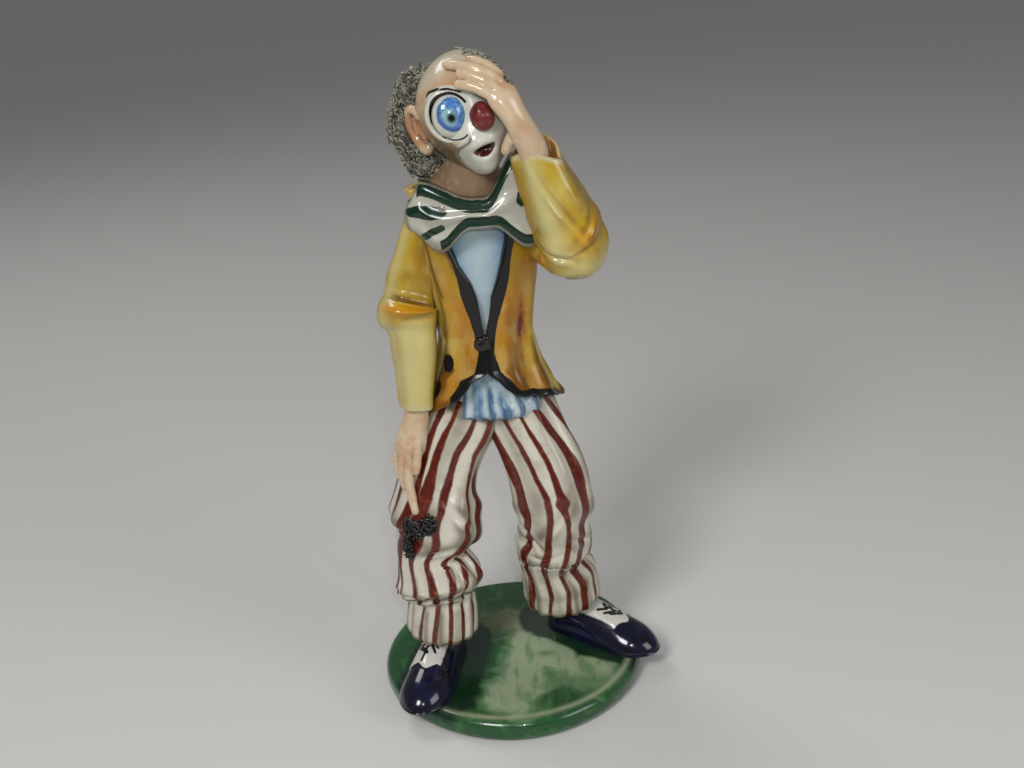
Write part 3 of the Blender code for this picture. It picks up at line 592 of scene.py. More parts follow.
class Glaze:
    """A glossy glaze whose colour is painted layer by layer."""

    def __init__(self, name, colour, roughness=0.22, coat=0.35):
        self.material = bpy.data.materials.new(name)
        self.material.use_nodes = True
        self.tree = self.material.node_tree
        self.shader = self.tree.nodes["Principled BSDF"]
        self.shader.inputs["Roughness"].default_value = roughness
        self.shader.inputs["Coat Weight"].default_value = coat
        self.shader.inputs["Coat Roughness"].default_value = 0.05
        self.shader.inputs["IOR"].default_value = 1.5
        self.shader.inputs["Specular IOR Level"].default_value = 0.35
        self.place = self.tree.nodes.new("ShaderNodeTexCoord").outputs["Object"]
        self.colour = self.constant(colour)

    def node(self, kind, inputs=(), **settings):
        made = self.tree.nodes.new(kind)
        for key, value in settings.items():
            setattr(made, key, value)
        for key, value in dict(inputs).items():
            if isinstance(value, bpy.types.NodeSocket):
                self.tree.links.new(value, made.inputs[key])
            else:
                made.inputs[key].default_value = value
        return made

    def constant(self, colour):
        made = self.node("ShaderNodeRGB")
        made.outputs[0].default_value = colour
        return made.outputs[0]

    def field(self, name):
        return self.node("ShaderNodeAttribute", attribute_name=name).outputs["Fac"]

    def noise(self, size, detail=3.0, distortion=0.0, stretch=(1, 1, 1), shift=0.0):
        """Noise from 0 to 1, whose lumps are about size millimetres and stretched along each axis."""
        scale = tuple(1 / (size * MM * part) for part in stretch)
        mapped = self.node(
            "ShaderNodeMapping", {"Vector": self.place, "Scale": scale, "Location": (shift, shift, shift)}
        )
        inputs = {"Vector": mapped.outputs[0], "Scale": 1.0, "Detail": detail, "Distortion": distortion}
        return self.node("ShaderNodeTexNoise", inputs).outputs["Fac"]

    def math(self, operation, first, second=0.0):
        return self.node("ShaderNodeMath", {0: first, 1: second}, operation=operation).outputs[0]

    def times(self, first, *others):
        """The product of sockets and numbers."""
        for other in others:
            first = self.math("MULTIPLY", first, other)
        return first

    def step(self, value, low, high):
        """0 at low, 1 at high and smooth between; low may be more than high."""
        inputs = {"Value": value, "From Min": low, "From Max": high}
        made = self.node("ShaderNodeMapRange", inputs, interpolation_type="SMOOTHSTEP")
        return made.outputs["Result"]

    def paint(self, colour, share):
        """Lays a colour over what is painted so far."""
        made = self.node("ShaderNodeMix", data_type="RGBA")
        ends = [socket for socket in made.inputs if socket.type == "RGBA"]
        self.tree.links.new(self.colour, ends[0])
        if isinstance(colour, bpy.types.NodeSocket):
            self.tree.links.new(colour, ends[1])
        else:
            ends[1].default_value = colour
        if isinstance(share, bpy.types.NodeSocket):
            self.tree.links.new(share, made.inputs[0])
        else:
            made.inputs[0].default_value = share
        self.colour = [socket for socket in made.outputs if socket.type == "RGBA"][0]

    def tint(self, colour, name, strength=1.0):
        """Lays a colour over the places that a field marks."""
        self.paint(colour, self.times(self.field(name), strength))

    def blotches(self, colour, size, low, high, strength=1.0, **settings):
        """Lays a colour in soft blotches of about that size."""
        self.paint(colour, self.times(self.step(self.noise(size, **settings), low, high), strength))

    def patch(self, colour, name, low, high, wave=0.0, reach=0.0):
        """Lays a colour where a field runs from low to high, with an edge that wavers by the reach."""
        value = self.wobbled(self.field(name), wave, reach) if reach else self.field(name)
        self.paint(colour, self.step(value, low, high))

    def wobbled(self, value, size, reach, shift=0.0):
        """A field with an uneven, hand-painted edge."""
        uneven = self.math("SUBTRACT", self.noise(size, detail=2.0, shift=shift), 0.5)
        return self.math("ADD", value, self.times(uneven, 2 * reach))

    def pool(self, colour, depth=0.25, strength=0.8):
        """Darker glaze in the creases: partly glaze that gathers there, partly painted shade."""
        self.paint(colour, self.times(self.step(self.field("cavity"), 0.02, depth), strength))

    def ridge(self, colour, depth=0.25, strength=0.6):
        """Paler glaze on the ridges: partly glaze that runs thin there, partly a painted highlight."""
        self.paint(colour, self.times(self.step(self.field("cavity"), -0.02, -depth), strength))

    def done(self, grain=0.9, depth=0.05):
        """Joins the colour and a faint unevenness of the clay to the shader."""
        self.tree.links.new(self.colour, self.shader.inputs["Base Color"])
        inputs = {"Strength": 0.35, "Distance": depth * MM, "Height": self.noise(grain, detail=4.0)}
        uneven = self.node("ShaderNodeBump", inputs)
        self.tree.links.new(uneven.outputs[0], self.shader.inputs["Normal"])
        return self.material


WHITE = srgb(191, 190, 178)
FLESH = srgb(192, 168, 138)
FLESH_PINK = srgb(178, 122, 84)
FLESH_SHADE = srgb(84, 60, 40)
BLACK = srgb(9, 8, 7)
STRIPE_RED = srgb(84, 20, 8)
STRIPE_EDGE = srgb(100, 80, 42)
YELLOW = srgb(174, 142, 28)
YELLOW_PALE = srgb(192, 182, 108)
YELLOW_DEEP = srgb(150, 100, 8)
ORANGE = srgb(160, 100, 14)
RUST = srgb(92, 34, 6)
BLUE_PALE = srgb(158, 178, 186)
BLUE = srgb(70, 112, 150)
BOW_GREEN = srgb(3, 38, 22)
NAVY = srgb(9, 11, 34)
NAVY_DEEP = srgb(4, 4, 16)
GREEN = srgb(28, 74, 38)
GREEN_PALE = srgb(146, 158, 128)
GREEN_DEEP = srgb(10, 36, 22)
HAIR_GREY = srgb(132, 130, 116)
HAIR_DARK = srgb(38, 36, 32)
NOSE_RED = srgb(98, 26, 24)
EYE_BLUE = srgb(62, 112, 176)
EYE_PALE = srgb(152, 190, 202)


def flesh_glaze():
    glaze = Glaze("flesh_glaze", FLESH)
    glaze.blotches(FLESH_PINK, 9.0, 0.48, 0.75, 0.5)
    pale = glaze.step(glaze.noise(6.0, shift=3.0), 0.48, 0.68)
    glaze.paint(srgb(200, 186, 160), glaze.times(pale, 0.6))
    # Paler on the ridges and darker in the creases and between the fingers: partly the glaze, partly a
    # painted highlight and painted shade.
    glaze.ridge(srgb(206, 190, 162), depth=0.3, strength=0.6)
    glaze.pool(FLESH_SHADE, depth=0.18, strength=0.9)
    return glaze.done()


def face_glaze():
    """Flesh with white make-up, black painted lines, a deep red mouth, and painted shade under the jaw and in
    the creases.
    """
    glaze = Glaze("face_glaze", FLESH)
    glaze.blotches(FLESH_PINK, 8.0, 0.48, 0.72, 0.45)
    glaze.tint(srgb(182, 172, 148), "dome", 0.8)
    glaze.tint(srgb(176, 112, 62), "brow", 0.75)
    glaze.tint(srgb(92, 80, 58), "shaded")
    glaze.tint(srgb(74, 72, 64), "scalp", 0.9)
    glaze.tint(srgb(164, 112, 78), "ear_hollow", 0.8)
    white = glaze.wobbled(glaze.field("white"), 2.5, 0.35)
    glaze.paint(WHITE, glaze.step(white, 0.4, -0.3))
    # Darker in the creases, partly glaze that gathers and partly painted shade, then painted shade along the
    # fold beside the muzzle.
    glaze.pool(FLESH_SHADE, depth=0.26, strength=0.85)
    glaze.paint(srgb(70, 54, 38), glaze.times(glaze.step(glaze.field("crease"), 0.9, 0.0), 0.8))
    glaze.patch(srgb(70, 22, 20), "mouth", 0.25, -0.15)
    glaze.patch(srgb(34, 12, 10), "mouth_dark", 0.3, -0.2)
    glaze.patch(BLACK, "line", 0.16, -0.08, 1.2, 0.1)
    return glaze.done()


def eye_glaze():
    """White with a blue disc, dark round its edge and pale mint round a small dark pupil."""
    glaze = Glaze("eye_glaze", WHITE, roughness=0.1, coat=0.8)
    iris = glaze.wobbled(glaze.field("iris"), 1.6, 0.35)
    glaze.paint(EYE_BLUE, glaze.step(iris, 0.25, -0.5))
    inside = glaze.step(iris, 0.0, -0.6)
    pale = glaze.step(glaze.noise(2.6, detail=2.0, distortion=0.8), 0.46, 0.66)
    glaze.paint(EYE_PALE, glaze.times(pale, inside, 0.55))
    rim = glaze.step(glaze.wobbled(glaze.field("iris_rim"), 2.4, 0.8), -0.3, 0.5)
    glaze.paint(srgb(26, 58, 118), glaze.times(rim, inside, 0.7))
    glow = glaze.step(glaze.wobbled(glaze.field("glow"), 2.0, 0.8), 0.8, -1.2)
    glaze.paint(srgb(140, 178, 172), glaze.times(glow, inside, 0.8))
    pupil = glaze.wobbled(glaze.field("pupil"), 1.0, 0.15)
    glaze.paint(srgb(34, 64, 70), glaze.times(glaze.step(pupil, 1.1, 0.1), 0.8))
    glaze.paint(BLACK, glaze.step(pupil, 0.2, -0.15))
    glaze.patch(BLACK, "lid", -0.1, 0.35)
    return glaze.done(depth=0.02)


def nose_glaze():
    glaze = Glaze("nose_glaze", NOSE_RED, roughness=0.35, coat=0.3)
    glaze.blotches(srgb(150, 62, 54), 1.3, 0.52, 0.7, 0.6)
    glaze.blotches(srgb(62, 8, 12), 2.2, 0.48, 0.7, 0.75, shift=4.0)
    return glaze.done(grain=0.5, depth=0.12)


def hair_glaze():
    glaze = Glaze("hair_glaze", HAIR_GREY, roughness=0.45, coat=0.15)
    glaze.blotches(srgb(172, 168, 152), 2.2, 0.52, 0.68, detail=2.0)
    glaze.blotches(HAIR_DARK, 3.0, 0.48, 0.66, 0.8, shift=7.0)
    return glaze.done(grain=0.4)


def black_glaze():
    glaze = Glaze("black_glaze", BLACK, roughness=0.16, coat=0.5)
    glaze.blotches(srgb(46, 40, 34), 1.5, 0.5, 0.7, 0.5)
    return glaze.done()


def yellow_layers(glaze):
    """Yellow glaze with pale and ochre blotches, paler on the ridges, where it runs thin and a highlight is
    painted, and ochre or orange in the creases, where it gathers and shade is painted.
    """
    glaze.blotches(YELLOW_PALE, 11.0, 0.38, 0.76, 0.65, detail=2.0)
    glaze.blotches(YELLOW_DEEP, 8.0, 0.46, 0.82, 0.5, shift=4.0)
    glaze.ridge(YELLOW_PALE, depth=0.6, strength=0.7)
    glaze.pool(srgb(96, 62, 10), depth=0.40, strength=0.9)


def sleeve_glaze():
    """Yellow, ochre on its shaded side, pale where a highlight is painted and at its rim, orange at the elbow
    with painted shade along its fold, and orange-brown inside the mouth.
    """
    glaze = Glaze("sleeve_glaze", YELLOW)
    yellow_layers(glaze)
    glaze.tint(srgb(138, 104, 24), "shade", 0.75)
    # A painted highlight where the sleeve is marked pale.
    glaze.tint(srgb(188, 182, 128), "pale", 0.75)
    glaze.tint(srgb(206, 140, 20), "crease", 0.8)
    # Painted shade along the fold line at the elbow.
    glaze.tint(srgb(84, 54, 8), "groove", 0.85)
    glaze.tint(srgb(186, 174, 132), "rim", 0.9)
    glaze.patch(srgb(158, 104, 40), "lining", 0.4, 0.9)
    return glaze.done()


def jacket_glaze():
    """Yellow that turns orange and tan down the front, with rust runs, black spots, a black edge, a pale
    strip down its side that is partly a painted highlight, and painted shade along its folds.
    """
    glaze = Glaze("jacket_glaze", YELLOW, coat=0.2)
    yellow_layers(glaze)
    front = glaze.times(glaze.field("front"), 0.75)
    glaze.paint(ORANGE, front)
    tan = glaze.step(glaze.noise(7.0, detail=2.0, stretch=(1, 1, 1.8)), 0.44, 0.60)
    glaze.paint(srgb(178, 146, 82), glaze.times(tan, front, 0.85))
    # The pale strip down the side: partly glaze that runs thin, partly a painted highlight.
    glaze.tint(srgb(186, 178, 120), "pale", 0.8)
    glaze.tint(srgb(162, 126, 10), "lapel", 0.9)
    rust = glaze.wobbled(glaze.field("rust"), 2.0, 1.0)
    glaze.paint(srgb(140, 66, 14), glaze.times(glaze.step(rust, 3.2, 0.0), 0.7))
    glaze.paint(RUST, glaze.step(rust, 0.9, -0.5))
    # Darker in the creases, partly glaze that gathers and partly painted shade, and painted shade along a
    # fold and along the lapel.
    glaze.pool(srgb(92, 56, 8), depth=0.45, strength=0.8)
    glaze.tint(srgb(64, 48, 14), "groove", 0.85)
    glaze.tint(srgb(120, 98, 40), "lining")
    glaze.patch(BLACK, "spots", 0.2, -0.2, 2.0, 0.3)
    glaze.patch(BLACK, "trim", 0.18, -0.15, 2.2, 0.3)
    return glaze.done()


def shirt_glaze():
    glaze = Glaze("shirt_glaze", BLUE_PALE)
    streaks = glaze.step(glaze.noise(2.6, detail=3.0, stretch=(1, 1, 2)), 0.42, 0.66)
    glaze.tint(srgb(120, 148, 166), "frill", 0.6)
    glaze.paint(BLUE, glaze.times(streaks, glaze.field("frill"), 0.8))
    glaze.blotches(srgb(180, 192, 192), 8.0, 0.42, 0.62, 0.7, shift=2.0)
    # Painted shade towards the sides.
    side = glaze.wobbled(glaze.field("side"), 5.0, 0.25)
    glaze.paint(srgb(92, 132, 170), glaze.times(side, 0.8))
    # Paler on the ridges and darker in the creases: partly the glaze, partly a painted highlight and painted
    # shade.
    glaze.ridge(srgb(186, 198, 198), depth=0.35, strength=0.6)
    glaze.pool(srgb(40, 74, 112), depth=0.35, strength=0.8)
    return glaze.done()


def bow_glaze():
    glaze = Glaze("bow_glaze", srgb(170, 168, 156))
    # Darker in the creases: partly glaze that gathers there, partly painted shade.
    glaze.pool(srgb(96, 92, 74), depth=0.40, strength=0.7)
    glaze.patch(BOW_GREEN, "green", 0.2, -0.15, 2.4, 0.35)
    return glaze.done()


def trouser_glaze():
    """Off-white cloth with brushed red-brown stripes that bleed olive at their edges."""
    glaze = Glaze("trouser_glaze", srgb(198, 192, 178))
    glaze.blotches(srgb(166, 158, 138), 7.0, 0.5, 0.72, 0.6)
    # Darker in the broad creases: partly glaze that gathers there, partly painted shade.
    glaze.pool(srgb(92, 82, 62), depth=1.0, strength=0.8)
    stripe = glaze.wobbled(glaze.field("stripe"), 3.0, 0.30)
    glaze.paint(STRIPE_EDGE, glaze.times(glaze.step(stripe, 0.50, 0.05), 0.85))
    glaze.paint(STRIPE_RED, glaze.step(stripe, 0.10, -0.25))
    worn = glaze.step(glaze.noise(2.4, shift=6.0), 0.52, 0.72)
    glaze.paint(srgb(122, 48, 22), glaze.times(worn, glaze.step(stripe, 0.2, -0.3), 0.7))
    # Painted shade along the lines pressed round the legs.
    glaze.tint(srgb(34, 26, 18), "groove", 0.85)
    return glaze.done()


def shoe_glaze():
    glaze = Glaze("shoe_glaze", NAVY, roughness=0.15, coat=0.4)
    glaze.blotches(NAVY_DEEP, 6.0, 0.42, 0.68, 0.8)
    glaze.blotches(srgb(22, 19, 64), 4.0, 0.50, 0.70, 0.7, shift=2.0)
    glaze.patch(srgb(196, 194, 186), "vamp", 0.2, -0.2, 2.0, 0.25)
    glaze.patch(srgb(28, 26, 22), "lace", 0.25, -0.1, 1.2, 0.12)
    return glaze.done()


def base_glaze():
    """Green glaze, pale and marbled where it runs thin, dark where it gathers round the shoes, and with a
    painted highlight along the front of its rim.
    """
    glaze = Glaze("base_glaze", GREEN, coat=0.4)
    marble = glaze.math("SUBTRACT", glaze.noise(13.0, detail=2.5, distortion=0.8), 0.5)
    pale = glaze.math("ADD", glaze.field("pale"), glaze.times(marble, 1.4))
    glaze.paint(srgb(90, 122, 84), glaze.step(pale, 0.10, 0.45))
    glaze.paint(GREEN_PALE, glaze.times(glaze.step(pale, 0.40, 0.75), 0.95))
    streaks = glaze.step(glaze.noise(5.0, detail=2.0, stretch=(1.0, 3.0, 1.0), shift=3.0), 0.50, 0.68)
    glaze.paint(srgb(58, 112, 58), glaze.times(streaks, 0.55))
    glaze.tint(srgb(70, 108, 70), "patch", 0.8)
    glaze.tint(srgb(110, 102, 74), "brown", 0.7)
    dark = glaze.math("ADD", glaze.field("dark"), glaze.times(marble, -0.9))
    glaze.paint(GREEN_DEEP, glaze.times(glaze.step(dark, 0.30, 0.75), 0.92))
    # A painted highlight along the front of the rounded rim.
    glaze.tint(srgb(156, 164, 132), "rim_highlight", 0.8)
    glaze.patch(srgb(150, 140, 120), "underside", 0.2, 0.9)
    return glaze.done(grain=3.0, depth=0.10)


def flutes(count, depth, twist=0.0, start=0.0):
    """Long folds round a limb, which may turn as they run."""

    def fold(angle, share):
        wave = np.cos(count * angle + start + twist * share)
        side_wave = np.cos((count - 2) * angle - 1.7 * start + 2.3 + 3 * share)
        return depth * (0.65 * wave + 0.35 * side_wave)

    return fold


def pinch(angle, down, around, place, lean, reach, depth, width=1.1):
    """A short crease pressed into cloth: a groove with a swollen lip on each side."""
    arc = 15 * signed(angle - around)
    cos, sin = math.cos(lean), math.sin(lean)
    along, across = arc * cos + (down - place) * sin, (down - place) * cos - arc * sin
    shape = 0.55 * bump(across - 2.2 * width, 1.3 * width) + 0.55 * bump(across + 2.2 * width, 1.3 * width)
    return depth * bump(along, reach) * (shape - bump(across, width))


def painted_stripes(angle, share, tracks, diamond):
    """How far each place on a leg is outside the nearest of its stripes, in millimetres."""
    girth_radius, back_stripes = 14.5, 4
    nearest = np.full(np.broadcast(angle, share).shape, 9.0)
    turns = [read(track, share) for _, track in tracks]
    widths = [width for width, _ in tracks] + [1.4] * back_stripes
    first, last = turns[0], turns[-1]
    for step in range(1, back_stripes + 1):
        turns.append(last + (360 + first - last) * step / (back_stripes + 1))
    for number, (turn, width) in enumerate(zip(turns, widths)):
        broad = 0.9 + (width - 0.9) * bump(share - 0.42, 0.28) + 0.2 * bump(share - 0.68, 0.08)
        apart = signed(angle - np.radians(turn))
        uneven = 0.22 * np.sin(9 * share + 2.1 * number) + 0.12 * np.sin(31 * share + number)
        nearest = np.minimum(nearest, np.abs(apart) * girth_radius - broad * (1 + uneven))
    if diamond:
        place, turn, reach = diamond
        apart = signed(angle - np.radians(turn))
        nearest = np.minimum(nearest, np.abs(apart) * girth_radius + np.abs(share - place) * 60 - reach)
    return nearest


def groove_place(place, slope, angle):
    """Where a line pressed round a leg runs, as the share of its length at each angle."""
    lift, aside, ahead = slope
    return place + lift + aside * np.sin(angle) + ahead * np.cos(angle) + 0.003 * np.sin(5 * angle)


def trouser_leg(rows, start, gathers, creases, grooves, tracks, diamond=None):
    """A wide trouser leg: broad drapery, a bagged knee, a gathered ankle and a ruffled striped cuff."""
    drapery = flutes(7, 1.25, twist=1.6, start=start)

    def fold(angle, down, length):
        share = down / length
        gathered = ramp(share, 0.60, 0.74)
        ruffle = np.cos(gathers * angle + start) + 0.4 * np.cos((gathers + 5) * angle + 3 * start)
        sag = 46 * share + 1.6 * np.sin(angle + start) + 1.1 * np.sin(2 * angle + start)
        cross = 0.6 * np.sin(sag) * bump(share - 0.52, 0.11)
        total = (1 - gathered) * drapery(angle, share) + 0.6 * gathered * ruffle + 1.0 * cross
        for place, depth, slope in grooves:
            total = total - depth * bump(share - groove_place(place, slope, angle), 0.007)
        for crease in creases:
            total = total + pinch(angle, down, *crease)
        return total

    def fields(angle, down, length):
        share = down / length
        # The groove field marks painted shade along the lines pressed round the leg.
        groove = 0 * angle + 0 * share
        for place, depth, slope in grooves:
            line = bump(share - groove_place(place, slope, angle), 0.0065)
            groove = np.maximum(groove, min(depth, 1.0) * line)
        return {"stripe": painted_stripes(angle, share, tracks, diamond), "groove": groove}

    return limb(rows, *LEG_MESH, fold=fold, fields=fields, window=LEG_RING_WINDOW)


def trousers():
    material = trouser_glaze()
    right_creases = [
        (0.6, 48.0, 0.9, 7.0, 0.7),
        (0.2, 60.0, -0.5, 8.0, 0.9),
        (5.6, 56.0, 0.5, 6.0, 0.6),
        (1.3, 66.0, 0.2, 6.0, 0.9),
        (2.6, 52.0, 0.4, 8.0, 0.9),
        (3.6, 60.0, -0.4, 6.0, 0.7),
        (0.1, 82.0, 0.1, 30.0, 0.9),
    ]
    left_creases = [
        (0.0, 50.0, -0.8, 7.0, 0.6),
        (5.5, 58.0, 0.6, 7.0, 1.2),
        (0.9, 60.0, 0.4, 6.0, 0.7),
        (5.9, 66.0, -0.3, 7.0, 0.6),
        (2.8, 56.0, -0.5, 8.0, 1.4),
        (3.8, 48.0, 0.6, 8.0, 1.4),
    ]
    right_grooves = [(0.785, 1.3, (0.035, 0.015, -0.02))]
    left_grooves = [(0.70, 1.3, (0.0375, -0.0125, -0.0375))]
    right = trouser_leg(RIGHT_LEG_ROWS, 0.4, 13, right_creases, right_grooves, RIGHT_LEG_STRIPES)
    left = trouser_leg(LEFT_LEG_ROWS, 2.1, 13, left_creases, left_grooves, LEFT_LEG_STRIPES, (0.42, 14, 2.7))
    piece("right_trouser_leg", right, material, rounds=70)
    piece("left_trouser_leg", left, material, rounds=70)


def shirt():
    """The shirt, which shows between the jacket's edges and ends in a gathered frill."""

    def fold(angle, down, length):
        share = down / length
        gathers = np.cos(22 * angle + 1.2 * np.sin(3 * angle)) + 0.5 * np.cos(37 * angle)
        soft = 0.5 * np.cos(3 * angle + 5 * share) * ramp(share, 0.2, 0.5)
        turned = signed(angle)
        beside = np.maximum(ramp(turned, 0.95, 1.25), ramp(-turned, 0.8, 1.1))
        return 0.5 * gathers * ramp(share, 0.80, 0.93) + soft - 4.0 * beside * ramp(share, 0.80, 0.90)

    def fields(angle, down, length):
        share = down / length
        # Painted shade towards the sides of the shirt's upper part.
        turned = np.abs(signed(angle))
        side = ramp(turned, 0.10, 0.55) * (1 - ramp(share, 0.5, 0.7))
        return {"frill": ramp(share, 0.70, 0.86), "side": side}

    piece("shirt", limb(TORSO_ROWS, *SHIRT_MESH, fold=fold, fields=fields), shirt_glaze())


def neck():
    def fold(angle, down, length):
        return 0.5 * np.cos(2 * angle) * ramp(down / length, 0.4, 0.9)

    # Painted shade: the neck is glazed as a darker copy of the flesh, for the shade under the chin.
    glaze = Glaze("neck_shade_glaze", srgb(128, 106, 82))
    glaze.blotches(srgb(92, 70, 52), 7.0, 0.46, 0.70, 0.7)
    glaze.blotches(srgb(166, 148, 124), 4.0, 0.54, 0.7, 0.25, shift=5.0)
    piece("neck", limb(NECK_ROWS, 90, 60, fold=fold), glaze.done())


def torso_at(angle, height, beyond):
    """The point of the torso's girth at an angle and a height, a stated way beyond the shirt."""
    rows = np.asarray(TORSO_ROWS, float)[::-1]
    x, y, wide, deep = (np.interp(height, rows[:, 2], rows[:, column]) for column in (0, 1, 3, 4))
    across, ahead = (wide + beyond) * np.sin(angle), (deep + beyond) * np.cos(angle)
    return np.stack([x + across, y - ahead, height + 0 * angle], axis=-1)


def jacket():
    """An open jacket: cut away below its one button, with a tail behind and a flared hem."""
    around = np.linspace(0, 1, JACKET_MESH[0])[None, :]
    down = np.linspace(0, 1, JACKET_MESH[1])[:, None]
    hem = read(JACKET_HEM, around)
    height = JACKET_TOP + (hem - JACKET_TOP) * down
    start = np.radians(read(JACKET_EDGES, height, 1))
    end = TURN + np.radians(read(JACKET_EDGES, height, 2))
    angle = start + (end - start) * around
    flare = 3.6 * ramp(down, 0.62, 1.0) + 1.2 * bump(down - 0.05, 0.12)
    pleats = 1.0 * np.cos(9 * angle + 1.0 + 1.2 * down) * ramp(down, 0.25, 0.9)
    pleats += 0.5 * np.cos(5 * angle - 3 * down) * ramp(down, 0.1, 0.4)
    edge = np.minimum(around, 1 - around)
    lapel = 0.9 * bump(edge, 0.035) + 1.6 * bump(edge - 0.05, 0.05) * (1 - ramp(down, 0.05, 0.35))
    beyond = JACKET_STANDOFF + flare + pleats * ramp(edge, 0.0, 0.06) + lapel
    lining = beyond - JACKET_THICKNESS - 1.2 * (1 - down)
    outer, inner = torso_at(angle, height, beyond), torso_at(angle, height, lining)
    outer[..., 2] += 0.25 * np.cos(17 * angle) * ramp(down, 0.93, 1.0)
    across = JACKET_GIRTH_RADIUS * (end - start)
    fields = jacket_paint(JACKET_GIRTH_RADIUS * angle, height, hem, around, across)
    piece("jacket", slab(outer, inner, fields), jacket_glaze(), rounds=40)


def jacket_paint(arc, height, hem, around, across):
    """What is painted on the jacket: arc is the way round it from the front, in millimetres."""
    from_left_front, from_right_front = across * around, across * (1 - around)
    from_front = np.minimum(from_left_front, from_right_front)
    trim = np.minimum.reduce([
        from_left_front - read(JACKET_TRIM, height, 1),
        from_right_front - read(JACKET_TRIM, height, 2),
        height - hem - 2.8 + 30 * ramp(around, 0.21, 0.24),
    ])
    side_front = np.maximum(1 - ramp(from_left_front, 9.0, 21.0), 1 - ramp(from_right_front, 6.0, 16.0))
    rust = np.minimum.reduce([
        oval_distance(arc, height, (14.6, 144.6), (1.4, 4.4), lean=-4),
        oval_distance(arc, height, (15.0, 151.0), (1.1, 1.8)) + 0.7,
        oval_distance(arc, height, (16.6, 142.0), (0.5, 1.4)) + 0.5,
        oval_distance(arc, height, (14.8, 152.5), (0.5, 1.2)) + 0.9,
        oval_distance(arc, height, (12.4, 132.5), (0.9, 0.8)) + 1.2,
    ])
    right_arc = arc - TURN * JACKET_GIRTH_RADIUS
    spots = np.minimum(
        oval_distance(right_arc, height, (-13.6, 132.0), (1.9, 3.4), lean=8),
        oval_distance(right_arc, height, (-16.2, 121.8), (1.7, 3.4), lean=-10),
    )
    fold_line = line_distance(right_arc, height, [(-17.0, 178.0), (-14.0, 150.0), (-15.5, 128.0)])
    lapel_line = line_distance(right_arc, height, [(-17.0, 184.0), (-15.6, 168.0), (-13.6, 157.0)])
    return {
        "trim": trim,
        "front": side_front,
        # The pale strip down the right side is partly a painted highlight; the groove marks painted shade
        # along a fold and along the lapel.
        "pale": bump(right_arc + 19.5, 2.6) * ramp(around, 0.5, 0.6) * ramp(height, 122.0, 130.0),
        "lapel": (1 - ramp(from_front, 5.5, 8.0)) * ramp(height, 154.0, 162.0),
        "groove": np.maximum(0.8 * bump(fold_line, 0.7), bump(lapel_line, 0.55)),
        "rust": rust,
        "spots": spots,
    }


def collar():
    """The jacket's collar, which stands up round the back of the neck from one wing of the bow."""
    angle = np.radians(np.linspace(68, 292, COLLAR_MESH[0]))[None, :]
    up = np.linspace(0, 1, COLLAR_MESH[1])[:, None]
    reach = 17.0 + 7.0 * up**0.8 + 0.5 * np.cos(7 * angle) * up
    height = 183.0 + 13.5 * up + 1.5 * up * np.cos(2 * angle)
    x, y = -1.0 + reach * 1.05 * np.sin(angle), 0.0 - reach * 0.62 * np.cos(angle)
    outer = np.stack([x, y, height], axis=-1)
    inward = np.stack([0.14 * (-1.0 - x), 0.14 * (0.0 - y), 0 * height + 0.6], axis=-1)
    points, faces, fields = slab(outer, outer + inward, {"crease": 0.9 * (1 - 0.6 * up)})
    del fields["lining"]
    piece("collar", (points, faces, fields), sleeve_glaze())


def sleeve_fold(elbow, start, creases=(), packing=1.0):
    """Loose cloth with a few cross creases packed together at the elbow."""
    drapery = flutes(5, 0.8, twist=2.5, start=start)

    def fold(angle, down, length):
        share = down / length
        packed = bump(share - elbow, 0.16)
        cross = np.sin(30 * (share - elbow) + 1.2 * np.cos(angle))
        total = drapery(angle, share) + packing * packed * cross
        for crease in creases:
            total = total + pinch(angle, down, *crease)
        return total

    return fold


def hanging_paint(angle, down, length):
    """The sleeve that hangs: a painted highlight on one side and below the elbow crease, painted shade on its
    other side, and the orange elbow crease with painted shade along its line.
    """
    side = signed(angle)
    front = bump(side - 0.1, 1.1)
    crease_line = 36.0 - 1.2 * np.cos(angle)
    return {
        "shade": ramp(side, -0.5, 0.6) * (1 - ramp(down, 37.0, 46.0)) * ramp(down, 4.0, 14.0),
        "crease": bump(down - crease_line - 2.6, 1.7) * front,
        # Painted shade along the elbow's fold line.
        "groove": bump(down - crease_line, 0.7) * front,
        "rim": ramp(down, length - 3.0, length) * (0.8 + 0 * angle),
        "pale": np.maximum(ramp(down, 39.0, 45.0) * bump(side + 0.1, 1.0), 0.8 * bump(side + 1.0, 0.4)),
    }


def forearm_paint(angle, down, length):
    """The ochre shade, the painted highlight on the elbow and along the front, painted shade along a fold,
    and the pale mouth of the raised forearm's sleeve.
    """
    side = signed(angle)
    return {
        "shade": ramp(np.abs(side), 0.4, 1.6) * ramp(down, 9.0, 20.0) * (1 - ramp(down, length - 6, length)),
        "crease": 0.55 * bump(down - 17.0 + 3.0 * np.sin(side), 3.0) * bump(side + 0.6, 0.7),
        # Painted shade along a fold near the elbow.
        "groove": 0.8 * bump(down - 13.0 + 3.0 * np.sin(side), 0.7) * bump(side + 0.5, 0.8),
        "rim": ramp(down, length - 2.5, length - 0.5) + 0 * angle,
        "pale": np.maximum(bump(side - 0.45, 0.42) * ramp(down, 6.0, 12.0), 0.8 * bump(down - 4.0, 5.0)),
    }


def upper_paint(angle, down, length):
    crease_line = 0.72 * length + 1.5 * np.cos(angle)
    return {"shade": np.full(angle.shape, 0.35), "crease": 0.8 * bump(down - crease_line, 1.4)}


def cuff_slant(angle, down, length):
    """The raised sleeve's mouth, which falls away from the face and has a point behind."""
    rise = 2.8 * np.sin(angle) - 2.5 * np.cos(angle)
    rise = rise + 2.3 * np.cos(2 * angle) + 1.0 * np.sin(2 * angle)
    return ramp(down / length, 0.65, 1.0) * rise


